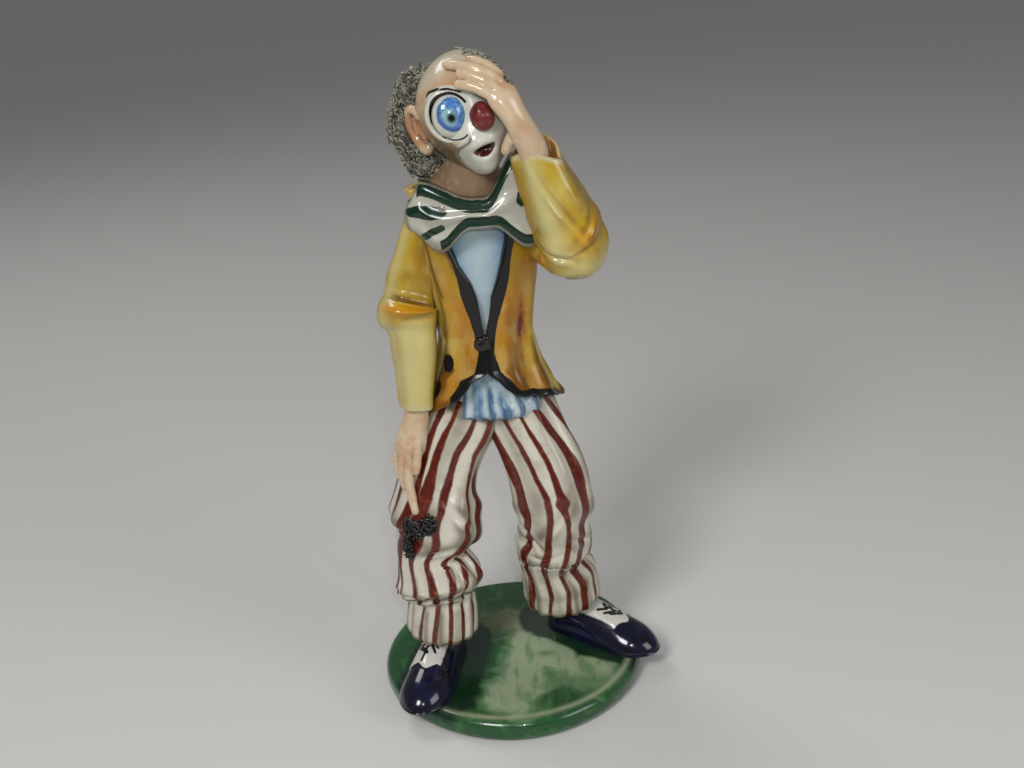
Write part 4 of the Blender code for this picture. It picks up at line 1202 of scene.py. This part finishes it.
def sleeves():
    material = sleeve_glaze()
    hanging_creases = [(0.0, 36.0, 0.05, 14.0, 1.6), (0.3, 42.0, 0.15, 8.0, 0.8), (3.1, 35.0, 0.0, 14.0, 1.2)]
    hanging = limb(
        HANGING_SLEEVE_ROWS, 140, 170, fold=sleeve_fold(0.5, 0.3, hanging_creases), mouth=4.0,
        fields=hanging_paint,
    )
    upper = limb(
        RAISED_UPPER_ROWS, 110, 90, front=UP, fold=sleeve_fold(0.8, 1.4), fields=upper_paint
    )
    forearm_creases = [(0.6, 14.0, 0.5, 9.0, 0.8), (5.6, 20.0, -0.4, 9.0, 0.5), (0.0, 30.0, 1.2, 14.0, 0.5)]
    forearm = limb(
        RAISED_FOREARM_ROWS, 140, 150, fold=sleeve_fold(0.35, 2.2, forearm_creases, packing=0.4), mouth=4.0,
        slant=cuff_slant, fields=forearm_paint,
    )
    piece("hanging_sleeve", hanging, material, rounds=24)
    piece("raised_upper_sleeve", upper, material, rounds=24)
    piece("raised_forearm_sleeve", forearm, material, rounds=24)


def bow_stripes(wing, rise, from_top, from_low):
    """How far each place on the bow is outside its green: a line along each edge, and three spots.

    wing and rise are measured from the bow's middle."""
    return np.minimum.reduce([
        np.maximum(np.abs(from_top - 2.2) - 2.0, -22.5 - wing),
        np.maximum(np.abs(from_low - 3.2) - 1.8, -15.5 - wing),
        oval_distance(wing, rise, (-19.5, -2.8), (7.4, 2.3), lean=-3),
        line_distance(wing, rise, [(-21.5, -11.6), (-14.2, -8.2)]) - 1.2,
        oval_distance(wing, rise, (14.6, 0.6), (2.4, 3.0), lean=-20),
    ])


def bow():
    """The big floppy bow, pinched in its middle, striped in green, and its band behind the neck."""
    across = np.linspace(-1, 1, BOW_MESH[0])[None, :]
    high = np.linspace(1, -1, BOW_MESH[1])[:, None]
    outward = np.abs(across)
    x_middle, y_middle, z_middle = BOW_MIDDLE
    top = 0.9 + 6.4 * ramp(-across, 0.1, 0.85) + 14.0 * ramp(across, 0.05, 0.48)
    top = top - 7.5 * ramp(outward, 0.78, 1.0)
    low = -9.6 - 8.2 * ramp(outward, 0.15, 0.6) + 8.0 * ramp(outward, 0.62, 1.0)
    z = z_middle + low + (top - low) * (high + 1) / 2
    x = x_middle + BOW_REACH * across * (1 - 0.05 * high**2) + 0 * z
    spread = ramp(outward, 0.05, 0.55)
    pleat = 0.8 * np.cos(2.7 * math.pi * high + 1.1 * across) * (0.5 + 0.5 * spread)
    pleat = pleat * (1 - 0.85 * ramp(outward, 0.68, 0.95))
    y = y_middle + 6.5 * outward**1.8 - pleat + 2.2 * high**2
    outer = np.stack([x, y + 0 * z, z], axis=-1)
    from_top, from_low = (top - low) * (1 - high) / 2, (top - low) * (high + 1) / 2
    green = bow_stripes(BOW_REACH * across + 0 * z, z - z_middle, from_top, from_low)
    shell = slab(outer, outer + (0, BOW_THICKNESS, 0), {"green": green})
    strap_rows = []
    for turn in np.radians(np.linspace(58, 302, 15)):
        strap_rows.append((-0.5 + 13.5 * math.sin(turn), -5.5 - 13.0 * math.cos(turn), 194.0, 2.4, 3.2))
    backing_rows = [
        (x_middle - 17.0, y_middle + 9.0, z_middle - 1.0, 7.0, 4.0),
        (x_middle, y_middle + 7.0, z_middle - 4.0, 3.6, 4.0),
        (x_middle + 17.0, y_middle + 9.0, z_middle + 2.0, 7.0, 4.0),
    ]

    def band(angle, down, length):
        return {"green": 6.0 - 5.6 * bump((angle - 1.0) % math.pi, 0.5) + 0 * down}

    def plain(angle, down, length):
        return {"green": 9.0 + 0 * angle + 0 * down}

    strap = limb(strap_rows, 30, 120, front=UP, fields=band)
    backing = limb(backing_rows, 40, 60, front=UP, rounded=True, fields=plain)
    piece("bow", merged([shell, strap, backing]), bow_glaze(), rounds=24)


def skull():
    """The bald head with its brow, cheeks, muzzle, jaw and the hollows of the eyes and the mouth."""
    x, y, z = sphere(*SKULL_MESH, 0.03)
    wide, deep, tall = HEAD_RADII
    point = np.stack([x * wide, y * deep, z * tall], axis=2)
    facing = ramp(-y, 0.0, 0.6)
    point[..., 0] *= 1 - 0.42 * ramp(-z, -0.1, 1.0) * (0.4 + 0.6 * facing)
    point[..., 0] *= 1 + 0.07 * bump(z - 0.55, 0.4)
    point[..., 1] += 5.0 * ramp(-z, 0.2, 0.9) * ramp(y, -0.2, 0.5)
    point[..., 0] *= 1 - 0.10 * ramp(z, -0.1, 0.4) * ramp(x, 0.0, 0.3)
    point[..., 2] -= 1.6 * ramp(-z, 0.6, 1.0) * facing

    def hill(place, reach, height):
        near = np.linalg.norm(point - np.asarray(place), axis=2)
        return height * bump(near, reach)

    forward = hill((-0.8, -15, -10.5), 8.0, 5.0) + hill((-1.2, -11, -18.5), 5.5, 4.6)
    forward += hill((-8.5, -13, -4.5), 4.5, 1.2) + hill((7.5, -14, -5), 4.5, 1.2)
    forward += hill((-8.5, -13, 11.5), 5.0, 1.4) + hill((7, -14, 11.5), 5.0, 1.2)
    forward -= hill((-8.0, -15, 2.6), 6.0, 1.8) + hill((8.0, -15, 3.0), 5.5, 1.6)
    forward += hill((-4.2, -17, -7.0), 3.2, 0.9) + hill((3.0, -18, -7.0), 3.2, 0.9)
    forward -= hill((-8.6, -12, -10.0), 2.0, 1.0) + hill((-6.4, -12, -14.5), 2.0, 0.8)
    point[..., 1] -= forward
    mouth = np.asarray(MOUTH_PLACE)
    across = (point[..., 0] - mouth[0]) / MOUTH_RADII[0]
    upright = (point[..., 2] - mouth[2] - 0.45 * across) / MOUTH_RADII[2]
    point[..., 1] += 3.4 * np.exp(-(across**2) - upright**2) * facing
    point[..., 1] -= 0.7 * np.exp(-(across**2) - (upright + 1.6) ** 2) * facing
    return skin(point)


def ear(side):
    """A large ear, tipped back, with a thick rolled rim round a shallow hollow. side is -1 or 1."""
    x, y, z = EAR_PLACE
    rim = [
        (x + 0.5, y - 3.5, z + 3.0, 1.4, 1.4),
        (x - 1.2, y - 1.0, z + 6.6, 1.6, 1.6),
        (x - 3.0, y + 2.3, z + 6.1, 1.7, 1.7),
        (x - 3.6, y + 3.7, z + 1.0, 1.8, 1.8),
        (x - 2.4, y + 2.3, z - 4.0, 1.9, 1.9),
        (x - 0.6, y - 1.0, z - 7.3, 2.1, 2.1),
        (x + 0.8, y - 3.0, z - 5.6, 1.4, 1.4),
    ]
    plate = [
        (x - 0.8, y + 1.8, z + 5.6, 2.8, 1.2),
        (x - 0.8, y + 1.8, z - 1.0, 4.2, 1.4),
        (x - 0.0, y + 0.2, z - 6.4, 2.0, 1.2),
    ]
    inner_fold = [
        (x - 0.9, y - 0.4, z + 4.2, 0.8, 0.8),
        (x - 2.0, y + 1.6, z + 2.6, 0.9, 0.9),
        (x - 1.8, y + 1.4, z - 2.2, 0.8, 0.8),
    ]
    facing = unit(np.array([-1.0, -0.55, 0.0]))
    shells = [
        limb(rim, 20, 60, front=np.array([-1.0, 0.0, 0.0]), rounded=True),
        limb(plate, 24, 30, front=facing, rounded=True),
        limb(inner_fold, 14, 20, front=facing, rounded=True),
    ]
    return [(points * (-side, 1, 1), faces, fields) for points, faces, fields in shells]


def eye_bag():
    """The puffed lid and bag that ring the eye."""
    x, y, z = EYE_PLACE
    rows = []
    for turn in np.linspace(0, TURN, 25):
        across, upright = (EYE_RADII[0] + 0.9) * math.cos(turn), (EYE_RADII[2] + 0.7) * math.sin(turn)
        back = y - 1.2 + 0.055 * across**2 + 0.012 * upright**2
        thick = 1.15 + 0.25 * math.sin(turn)
        rows.append((x + across, back, z + upright, thick, thick))
    return limb(rows, 16, 90, front=FRONT)


def face_paint(x, y, z):
    """What is painted on the head: a stage clown's make-up, the tints of its skin, and painted shade under
    the jaw, beside the ear and along the fold beside the muzzle.
    """
    ahead = 40 * ramp(y, -9.0, -4.0)
    fields = {}
    eye_x, _, eye_z = EYE_PLACE
    surround = oval_distance(x, z, (eye_x + 0.1, eye_z + 0.7), (8.2, 9.2), lean=4)
    muzzle = oval_distance(x, z, (-1.2, -13.0), (8.0, 11.0), lean=4)
    bridge = oval_distance(x, z, (1.0, 2.0), (6.5, 9.0))
    far_surround = oval_distance(x, z, (9.0, 3.4), (8.2, 9.0))
    far_cheek = oval_distance(x, z, (6.5, -5.5), (5.5, 8.0))
    fields["white"] = np.minimum.reduce([surround, muzzle, bridge, far_surround, far_cheek]) + ahead
    lid_wide, lid_tall = EYE_RADII[0] - 0.1, EYE_RADII[2] + 0.2
    arch = np.radians(np.linspace(28, 185, 16))
    upper_lid = [(eye_x + lid_wide * math.cos(a), eye_z + lid_tall * math.sin(a)) for a in arch]
    under = np.radians(np.linspace(228, 300, 8))
    lower_lid = [(eye_x + lid_wide * math.cos(a), eye_z + lid_tall * math.sin(a)) for a in under]
    brow = [(-14.4, 8.8), (-12.6, 11.0), (-9.8, 11.8), (-6.4, 11.2), (-2.6, 9.2)]
    thick = 0.42 + 0.75 * bump(np.hypot(x - eye_x + 4.2, z - eye_z - 5.6), 3.4)
    fields["line"] = ahead + np.minimum.reduce([
        line_distance(x, z, brow) - 0.30,
        line_distance(x, z, upper_lid) - thick,
        line_distance(x, z, lower_lid) - 0.22,
    ])
    # Painted shade along the fold beside the muzzle, from the nose down to the chin.
    smile = [(-2.4, -1.6), (-2.9, -3.8), (-4.8, -6.6), (-8.2, -8.6), (-8.8, -11.0)]
    smile += [(-7.6, -14.5), (-5.2, -18.0)]
    fields["crease"] = line_distance(x, z, smile) + ahead
    mouth_x, _, mouth_z = MOUTH_PLACE
    bent = z - 0.13 * (x - mouth_x) - 0.05 * (x - mouth_x) ** 2
    fields["mouth"] = oval_distance(x, bent, (mouth_x, mouth_z - 0.2), (3.7, 1.75)) + ahead
    fields["mouth_dark"] = oval_distance(x, bent, (mouth_x + 0.3, mouth_z + 0.45), (2.9, 1.15)) + ahead
    under_jaw = ramp(-z, 13.0, 19.0) * ramp(y, -16.0, -6.0)
    beside = 0.85 * bump(np.hypot((x + 14.0) / 3.5, (z + 3.0) / 9.0), 1.0) * ramp(y, -14.0, -9.0)
    jaw_edge = bump(np.hypot((x + 10.0) / 4.5, (z + 12.5) / 6.5), 1.0) * ramp(y, -16.5, -13.0)
    fields["shaded"] = np.clip(under_jaw + beside + jaw_edge, 0, 1)
    fields["dome"] = ramp(z, 9.0, 15.0)
    from_edge = x - CROWN_HAIR_EDGE + 0.35 * (z - 12)
    fields["scalp"] = ramp(from_edge, 0.0, 2.0) * ramp(y, -8.5, -6.0) * ramp(z, 2.0, 5.0)
    fields["brow"] = bump(np.hypot((x + 3.0) / 9.0, (z - 11.0) / 4.0), 1.0) * ramp(-y, 6.0, 12.0)
    _, ear_y, ear_z = EAR_PLACE
    hollow = oval_distance(y, z, (ear_y + 0.8, ear_z - 0.2), (3.4, 6.2), lean=-12)
    fields["ear_hollow"] = ramp(-hollow, -0.6, 1.0) * ramp(-x, 15.2, 16.2)
    return fields


def head():
    """The fused head with its ears and the lids of its open eye, and the eye and the nose.

    There is no far eye, which would lie under the hand, and the far ear lies behind the hand."""
    far_ear = [(points - (2.5, -1.5, 3.0), faces, fields) for points, faces, fields in ear(1)]
    points, faces, _ = fused([skull(), eye_bag()] + ear(-1) + far_ear, 0.36, 4)
    piece("head", (from_head(points), faces, face_paint(*points.T)), face_glaze(), rounds=30)
    eyeball()
    points, faces, _ = ball(NOSE_PLACE, NOSE_RADII, sides=60, rings=50)
    points = points + 0.14 * cloud(points, 2.0)[:, None] * unit(points - NOSE_PLACE)
    piece("nose", (from_head(points), faces, {}), nose_glaze())


def eyeball():
    """The bulging eye: a white ball with a blue disc that looks towards the nose."""
    points, faces, _ = ball(EYE_PLACE, EYE_RADII, sides=90, rings=70)
    x, _, z = points.T
    centre = (EYE_PLACE[0] + 0.9, EYE_PLACE[2] + 0.9)
    fields = {
        "iris": oval_distance(x, z, (centre[0] - 0.2, centre[1] - 0.2), (5.6, 5.7), lean=8),
        "pupil": oval_distance(x, z, (centre[0] - 1.2, centre[1] - 1.0), (0.95, 1.1)),
        "glow": oval_distance(x, z, (centre[0] - 1.8, centre[1] - 0.6), (2.6, 3.2), lean=25),
        "iris_rim": oval_distance(x, z, (centre[0] + 0.2, centre[1] + 0.3), (4.3, 4.8), lean=8),
        "lid": oval_distance(x, z, EYE_PLACE[::2], (EYE_RADII[0] - 0.35, EYE_RADII[2] - 0.35)),
    }
    piece("eye", (from_head(points), faces, fields), eye_glaze())


def hairline(place):
    """How far forward the hair comes at a place of the head: behind the ear, and further at its side."""
    x, _, z = place
    beside_ear = -22.5 < x < -13.0 and -12.5 < z < 8.5
    if beside_ear:
        return 7.0
    return -3.0 if x > 2.0 else 1.5 if x < -20.5 else 4.5 + 0.25 * max(z, 0.0)


def curl_points(place, outward, side, curl, bends, lift, drift=0.0):
    """Points along a short curl on a surface, which lifts off it and drifts along it."""
    first = unit(np.cross(outward, unit(side)))
    second = np.cross(outward, first)
    points = []
    for bend in np.linspace(0, bends, 6):
        ring = math.cos(bend) * first + math.sin(bend) * second
        points.append(place + curl * ring + lift * bend * outward + drift * bend * first)
    return points


def curled_strand(place, outward, draw):
    """One short strand that curls on the surface of the hair."""
    side, curl, drift = draw.normal(size=3), draw.uniform(0.7, 1.5), draw.uniform(-0.5, 0.5)
    points = curl_points(place - 0.4 * outward, outward, side, curl, draw.uniform(3.2, 6.0), 0.2, drift)
    return strand(points, draw.uniform(0.30, 0.42), sides=4, rings=10)


def spiral_directions(count):
    """Directions spread evenly over a sphere."""
    height = 1 - 2 * (np.arange(count) + 0.5) / count
    turn = np.arange(count) * math.pi * (3 - math.sqrt(5))
    level = np.sqrt(1 - height**2)
    return np.stack([level * np.sin(turn), -level * np.cos(turn), height], axis=1)


def hair():
    """A thick mop of curled clay strands round the sides and the back of the bald head."""
    draw = np.random.default_rng(7)
    shells = []
    for centre, radii, count in HAIR_MASSES:
        centre, radii = np.asarray(centre), np.asarray(radii)
        points, faces, _ = ball(centre, radii - 1.2, sides=40, rings=30)
        points[:, 1] = np.maximum(points[:, 1], [hairline(point) + 0.8 for point in points])
        shells.append((points, faces, {}))
        for outward in spiral_directions(count):
            place = centre + outward * (radii + draw.uniform(-0.8, 1.6))
            front = hairline(place)
            if place[1] < front:
                place[1] = front + draw.uniform(-0.3, 0.8)
                outward = FRONT
            if np.linalg.norm(place / HEAD_RADII) > 1.0:
                shells.append(curled_strand(place, outward, draw))
    skull_radii = np.asarray(HEAD_RADII) * (0.97, 1.0, 1.0)
    for outward in spiral_directions(2400):
        place = skull_radii * outward * (1 - 0.025 * max(outward[2], 0) + draw.uniform(-0.01, 0.015))
        if place[0] > CROWN_HAIR_EDGE - 0.35 * (place[2] - 12) and place[1] > -9.0 and place[2] > 2.0:
            shells.append(curled_strand(place, unit(place / skull_radii**2), draw))
    points, faces, _ = merged(shells)
    piece("hair", (from_head(points), faces, {}), hair_glaze(), rounds=2)


def finger(points, radius):
    """A long finger that swells at its joints and thins to its tip."""
    shares = np.linspace(1.12, 0.78, len(points))
    rows = [(*point, radius * share, radius * share) for point, share in zip(points, shares)]

    def knuckles(angle, down, length):
        return 0.16 * (bump(down / length - 0.42, 0.07) + bump(down / length - 0.72, 0.06)) + 0 * angle

    return limb(rows, 20, 36, rounded=True, fold=knuckles)


def hands():
    """The limp hand over the knee and the hand laid across the forehead."""
    material = flesh_glaze()
    palm = [
        (-28.4, -10.5, 121.0, 4.4, 4.0),
        (-29.2, -11.0, 112.0, 4.8, 4.0),
        (-31.4, -12.0, 104.0, 5.8, 3.8),
        (-32.9, -12.5, 98.0, 5.8, 3.5),
        (-33.4, -12.8, 94.0, 5.2, 3.0),
    ]
    hanging = [
        limb(palm, 36, 40, rounded=True),
        finger([(-36.6, -10.5, 101), (-38.6, -10.5, 94), (-38.0, -11.5, 86)], 1.7),
        finger([(-34.6, -12.5, 99), (-36.4, -14.0, 91), (-35.8, -15.2, 83)], 1.8),
        finger([(-32.6, -13.5, 98), (-34.0, -16.0, 90), (-33.4, -18.8, 82), (-32.2, -22.0, 75.5)], 1.9),
        finger([(-29.6, -13.5, 104), (-30.0, -16.0, 97), (-31.2, -17.6, 90)], 1.8),
    ]
    piece("hanging_hand", fused(hanging, 0.32, 5), material, rounds=8)
    back = [
        (8.6, -29.0, 233.0, 5.4, 2.8),
        (11.6, -30.5, 228.5, 5.4, 3.2),
        (14.6, -30.5, 223.0, 4.6, 3.4),
        (17.2, -29.0, 217.5, 4.8, 3.8),
        (19.8, -26.5, 211.5, 5.2, 4.2),
        (21.5, -24.0, 204.0, 4.8, 4.2),
    ]
    over = unit(np.array([0.35, -0.9, 0.25]))
    raised = [
        limb(back, 36, 40, front=over, rounded=True),
        finger([(11.0, -31.0, 226.5), (8.4, -31.2, 229.3), (2.5, -29.8, 232.6), (-4.1, -26.6, 233.6)], 2.0),
        finger([(11.5, -30.0, 229.5), (8.8, -30.2, 232.4), (2.8, -28.4, 235.6), (-3.4, -24.9, 236.8)], 2.0),
        finger([(11.5, -28.5, 232.0), (8.6, -28.2, 235.2), (1.0, -25.8, 238.6), (-7.6, -20.6, 239.6)], 2.0),
        finger([(11.5, -26.5, 234.0), (9.0, -26.0, 237.0), (5.0, -24.0, 239.6), (0.2, -20.3, 240.7)], 1.8),
        finger([(15.5, -28.0, 218.0), (12.5, -27.0, 214.0), (10.5, -25.5, 209.5)], 2.0),
    ]
    piece("raised_hand", fused(raised, 0.32, 4), material, rounds=8)


def shoe(name, heel, towards, laces, vamp_end, vamp_sides, material):
    """A long round-toed shoe with a flat sole, a pale scalloped vamp and a few brushed laces."""
    direction = unit(np.array([*towards, 0.0]))
    aside = np.cross(UP, direction)
    profile = [
        (0.0, 5.6, 9.0),
        (0.14, 8.0, 14.0),
        (0.36, 9.0, 17.0),
        (0.56, 10.2, 14.4),
        (0.78, 10.6, 10.8),
        (1.0, 6.8, 6.8),
    ]
    rows = []
    for share, half_width, tall in profile:
        rows.append((*(np.asarray(heel) + direction * SHOE_LENGTH * share), half_width, tall))
    points, faces, _ = limb(rows, *SHOE_MESH, front=UP, rounded=True)
    below = np.minimum(points[:, 2] - SOLE_LEVEL, 0)
    points[:, 2] += below * (SOLE_FLATNESS - 1) - SOLE_SINK
    along = (points - heel) @ direction
    across = (points - heel) @ aside
    scallops = 1.1 * np.cos(across * 0.75)
    front_edge = along - (vamp_end + scallops - 0.045 * across**2)
    side_edge = np.maximum(vamp_sides[0] - across, across - vamp_sides[1])
    vamp = np.maximum.reduce([front_edge, side_edge, 15.0 - along])
    raised = ramp(-vamp, -0.3, 0.5) * ramp(points[:, 2], 5.0, 8.0)
    points[:, 2] += 0.7 * raised
    vamp = np.where(points[:, 2] > 2.4, vamp, 9.0)
    lace = np.full(len(points), 9.0)
    for stroke in laces:
        lace = np.minimum(lace, line_distance(along, across, stroke) - 0.5)
    fields = {"vamp": vamp, "lace": np.where(points[:, 2] > 5.0, lace, 9.0)}
    piece(name, (points, faces, fields), material)


def shoes():
    material = shoe_glaze()
    right_laces = [
        [(25.0, -6.5), (28.5, -3.0), (25.5, -0.5), (29.5, 2.0)],
        [(27.0, -2.0), (33.5, -2.6)],
        [(23.0, -6.5), (26.0, -4.0), (23.5, 0.0), (27.0, 2.5)],
        [(26.5, -4.5), (30.0, -1.0)],
    ]
    left_laces = [
        [(26.0, -3.0), (29.0, -0.5), (26.0, 2.0), (30.0, 4.5)],
        [(29.0, -3.0), (32.0, 0.0), (28.5, 2.5), (33.0, 5.0)],
        [(31.5, -2.0), (34.5, 1.0), (32.5, 4.0)],
        [(27.0, 0.5), (35.0, 1.8)],
    ]
    shoe("right_shoe", RIGHT_HEEL, RIGHT_TOES_TOWARDS, right_laces, 35.5, (-12.0, 5.2), material)
    shoe("left_shoe", LEFT_HEEL, LEFT_TOES_TOWARDS, left_laces, 37.5, (-5.6, 12.0), material)


def knee_tuft():
    """A dark tuft of clay strands in a few lumps, against the knee under the longest finger."""
    draw = np.random.default_rng(3)
    shells = []
    for centre, radii in TUFT_LUMPS:
        centre, radii = np.asarray(centre), np.asarray(radii)
        shells.append(ball(centre, radii - 0.7, sides=24, rings=18))
        for outward in spiral_directions(46):
            place = centre + outward * (radii - draw.uniform(0.2, 0.7))
            points = curl_points(place, outward, draw.normal(size=3), 0.9, draw.uniform(2.5, 5.0), 0.12)
            shells.append(strand(points, draw.uniform(0.3, 0.45), sides=6, rings=14))
    points, faces, _ = merged(shells)
    piece("knee_tuft", (points, faces, {}), black_glaze(), rounds=3)


def button():
    """The lumpy black knot that closes the jacket."""
    points, faces, _ = ball(BUTTON_PLACE, (3.2, 2.4, 3.6), sides=40, rings=30)
    points = points + 0.5 * cloud(points, 1.6)[:, None] * unit(points - BUTTON_PLACE)
    piece("button", (points, faces, {}), black_glaze(), rounds=3)


def shoe_distance(x, y, heel, towards):
    """How far a place on the base is from the line down the middle of a shoe."""
    toe = np.asarray(heel[:2]) + np.asarray(towards) * SHOE_LENGTH
    return line_distance(x, y, [heel[:2], tuple(toe)])


def base_paint(x, y, z):
    """Where the base's glaze is pale, brown, dark or worn, with z measured from its underside."""
    near_shoe = np.minimum(
        shoe_distance(x, y, RIGHT_HEEL, RIGHT_TOES_TOWARDS), shoe_distance(x, y, LEFT_HEEL, LEFT_TOES_TOWARDS)
    )
    radius = np.hypot(x / BASE_WIDTH, y / BASE_DEPTH) * 2
    pale = bump(line_distance(x, y, [(12, 14), (8, 0), (4, -20), (-4, -36)]), 11.0)
    pale = np.maximum(pale, 0.9 * bump(line_distance(x, y, [(10, -8), (30, -24)]), 11.0))
    patch = bump(np.hypot((x - 28) / 15, (y + 29) / 4.0), 1.0)
    patch = patch + bump(np.hypot((x - 13) / 3, (y + 10) / 2), 1.0)
    brown = bump(np.hypot((x + 3) / 12, (y - 15) / 9), 1.0)
    dark = bump(np.maximum(near_shoe - 10.0, 0), 5.0)
    dark = dark + 0.8 * bump(line_distance(x, y, [(-14, 2), (-16, -18), (-20, -38)]), 6.0)
    dark = dark + 0.8 * bump(line_distance(x, y, [(20, 8), (30, -9), (48, -17)]), 5.0)
    # A painted highlight along the front of the rounded rim.
    rim_highlight = bump(radius - 0.93, 0.022) * ramp(-y, -5.0, 25.0) * ramp(x, -38.0, -8.0)
    upward = ramp(z, 4.0, 8.6)
    return {
        "pale": pale * upward,
        "patch": np.clip(patch, 0, 1) * upward,
        "brown": brown * upward,
        "dark": dark * ramp(z, 3.0, 8.0),
        "rim_highlight": rim_highlight,
        "underside": ramp(-z, -0.3, -0.1),
    }


def base():
    """The base: a low round cake with a rounded upper edge and a slightly domed, uneven top."""
    top = BASE_THICKNESS
    profile = [(-9.0, 0.0), (-BASE_FOOT_INSET - 0.5, 0.0), (-BASE_FOOT_INSET, 0.35), (-0.4, 1.6), (0.0, 3.2)]
    profile += [(0.0, top - BASE_EDGE_ROUND)]
    for angle in np.radians(np.linspace(6, 90, 15)):
        inset = BASE_EDGE_ROUND * (1 - math.cos(angle))
        profile.append((-inset, top - BASE_EDGE_ROUND * (1 - math.sin(angle))))
    turn = np.linspace(0, TURN, 200, endpoint=False)
    wobble = 1 + 0.008 * np.sin(3 * turn + 0.6) + 0.006 * np.cos(5 * turn)
    outline = np.stack([np.sin(turn) * BASE_WIDTH / 2, -np.cos(turn) * BASE_DEPTH / 2], axis=1)
    outline = outline * wobble[:, None]
    rings = []
    for inset, height in profile:
        shrink = 1 + 2 * inset / BASE_WIDTH
        rings.append(np.column_stack([outline * shrink, np.full(len(turn), height)]))
    rim = 1 - 2 * BASE_EDGE_ROUND / BASE_WIDTH
    for share in np.linspace(0.98, 0.02, 60):
        height = top + BASE_DOME * (1 - share**2)
        rings.append(np.column_stack([outline * rim * share, np.full(len(turn), height)]))
    grid = np.stack(rings)
    grid[len(profile):, :, 2] += 0.22 * cloud(grid[len(profile):], 9.0)
    points, faces, _ = skin(grid)
    fields = base_paint(*points.T)
    piece("base", (points - (0, 0, BASE_THICKNESS), faces, fields), base_glaze(), rounds=4)


def area_light(name, place, size, power):
    light = bpy.data.lights.new(name, "AREA")
    light.size = size
    light.energy = power
    lamp = linked(name, light)
    lamp.location = place
    lamp.rotation_euler = (Vector(LIT_PLACE) - Vector(place)).to_track_quat("-Z", "Y").to_euler()


def studio():
    """A pale floor, soft lights and one small bright lamp near the camera."""
    data = bpy.data.meshes.new("floor")
    corners = [(x * FLOOR_REACH, y * FLOOR_REACH, 0) for x, y in ((-1, -1), (1, -1), (1, 1), (-1, 1))]
    data.from_pydata(corners, [], [(0, 1, 2, 3)])
    material = bpy.data.materials.new("floor")
    material.use_nodes = True
    shader = material.node_tree.nodes["Principled BSDF"]
    shader.inputs["Base Color"].default_value = FLOOR_COLOUR
    shader.inputs["Roughness"].default_value = 0.9
    data.materials.append(material)
    linked("floor", data)
    world = bpy.data.worlds.new("studio")
    world.use_nodes = True
    world.node_tree.nodes["Background"].inputs["Color"].default_value = ROOM_COLOUR
    world.node_tree.nodes["Background"].inputs["Strength"].default_value = ROOM_LIGHT
    bpy.context.scene.world = world
    for light in LIGHTS:
        area_light(*light)


def camera():
    """The photograph's viewing angle: close, looking down, and leaning a little."""
    pitch, roll = math.radians(CAMERA_PITCH), math.radians(CAMERA_ROLL)
    ahead = Vector((0.0, math.cos(pitch), -math.sin(pitch)))
    level = Vector((1.0, 0.0, 0.0))
    upward = level.cross(ahead)
    right = math.cos(roll) * level - math.sin(roll) * upward
    up = math.cos(roll) * upward + math.sin(roll) * level
    data = bpy.data.cameras.new("camera")
    data.sensor_width = SENSOR_WIDTH
    data.lens = FOCAL_PIXELS / PICTURE_WIDTH * SENSOR_WIDTH
    data.clip_start = 0.01
    made = linked("camera", data)
    turn = Matrix((right, up, -ahead)).transposed().to_4x4()
    made.matrix_world = Matrix.Translation(Vector(CAMERA_PLACE) * MM) @ turn
    bpy.context.scene.camera = made


bpy.context.scene.view_settings.view_transform = "Standard"
camera()
studio()
base()
shoes()
trousers()
shirt()
jacket()
collar()
sleeves()
neck()
bow()
head()
hair()
hands()
knee_tuft()
button()
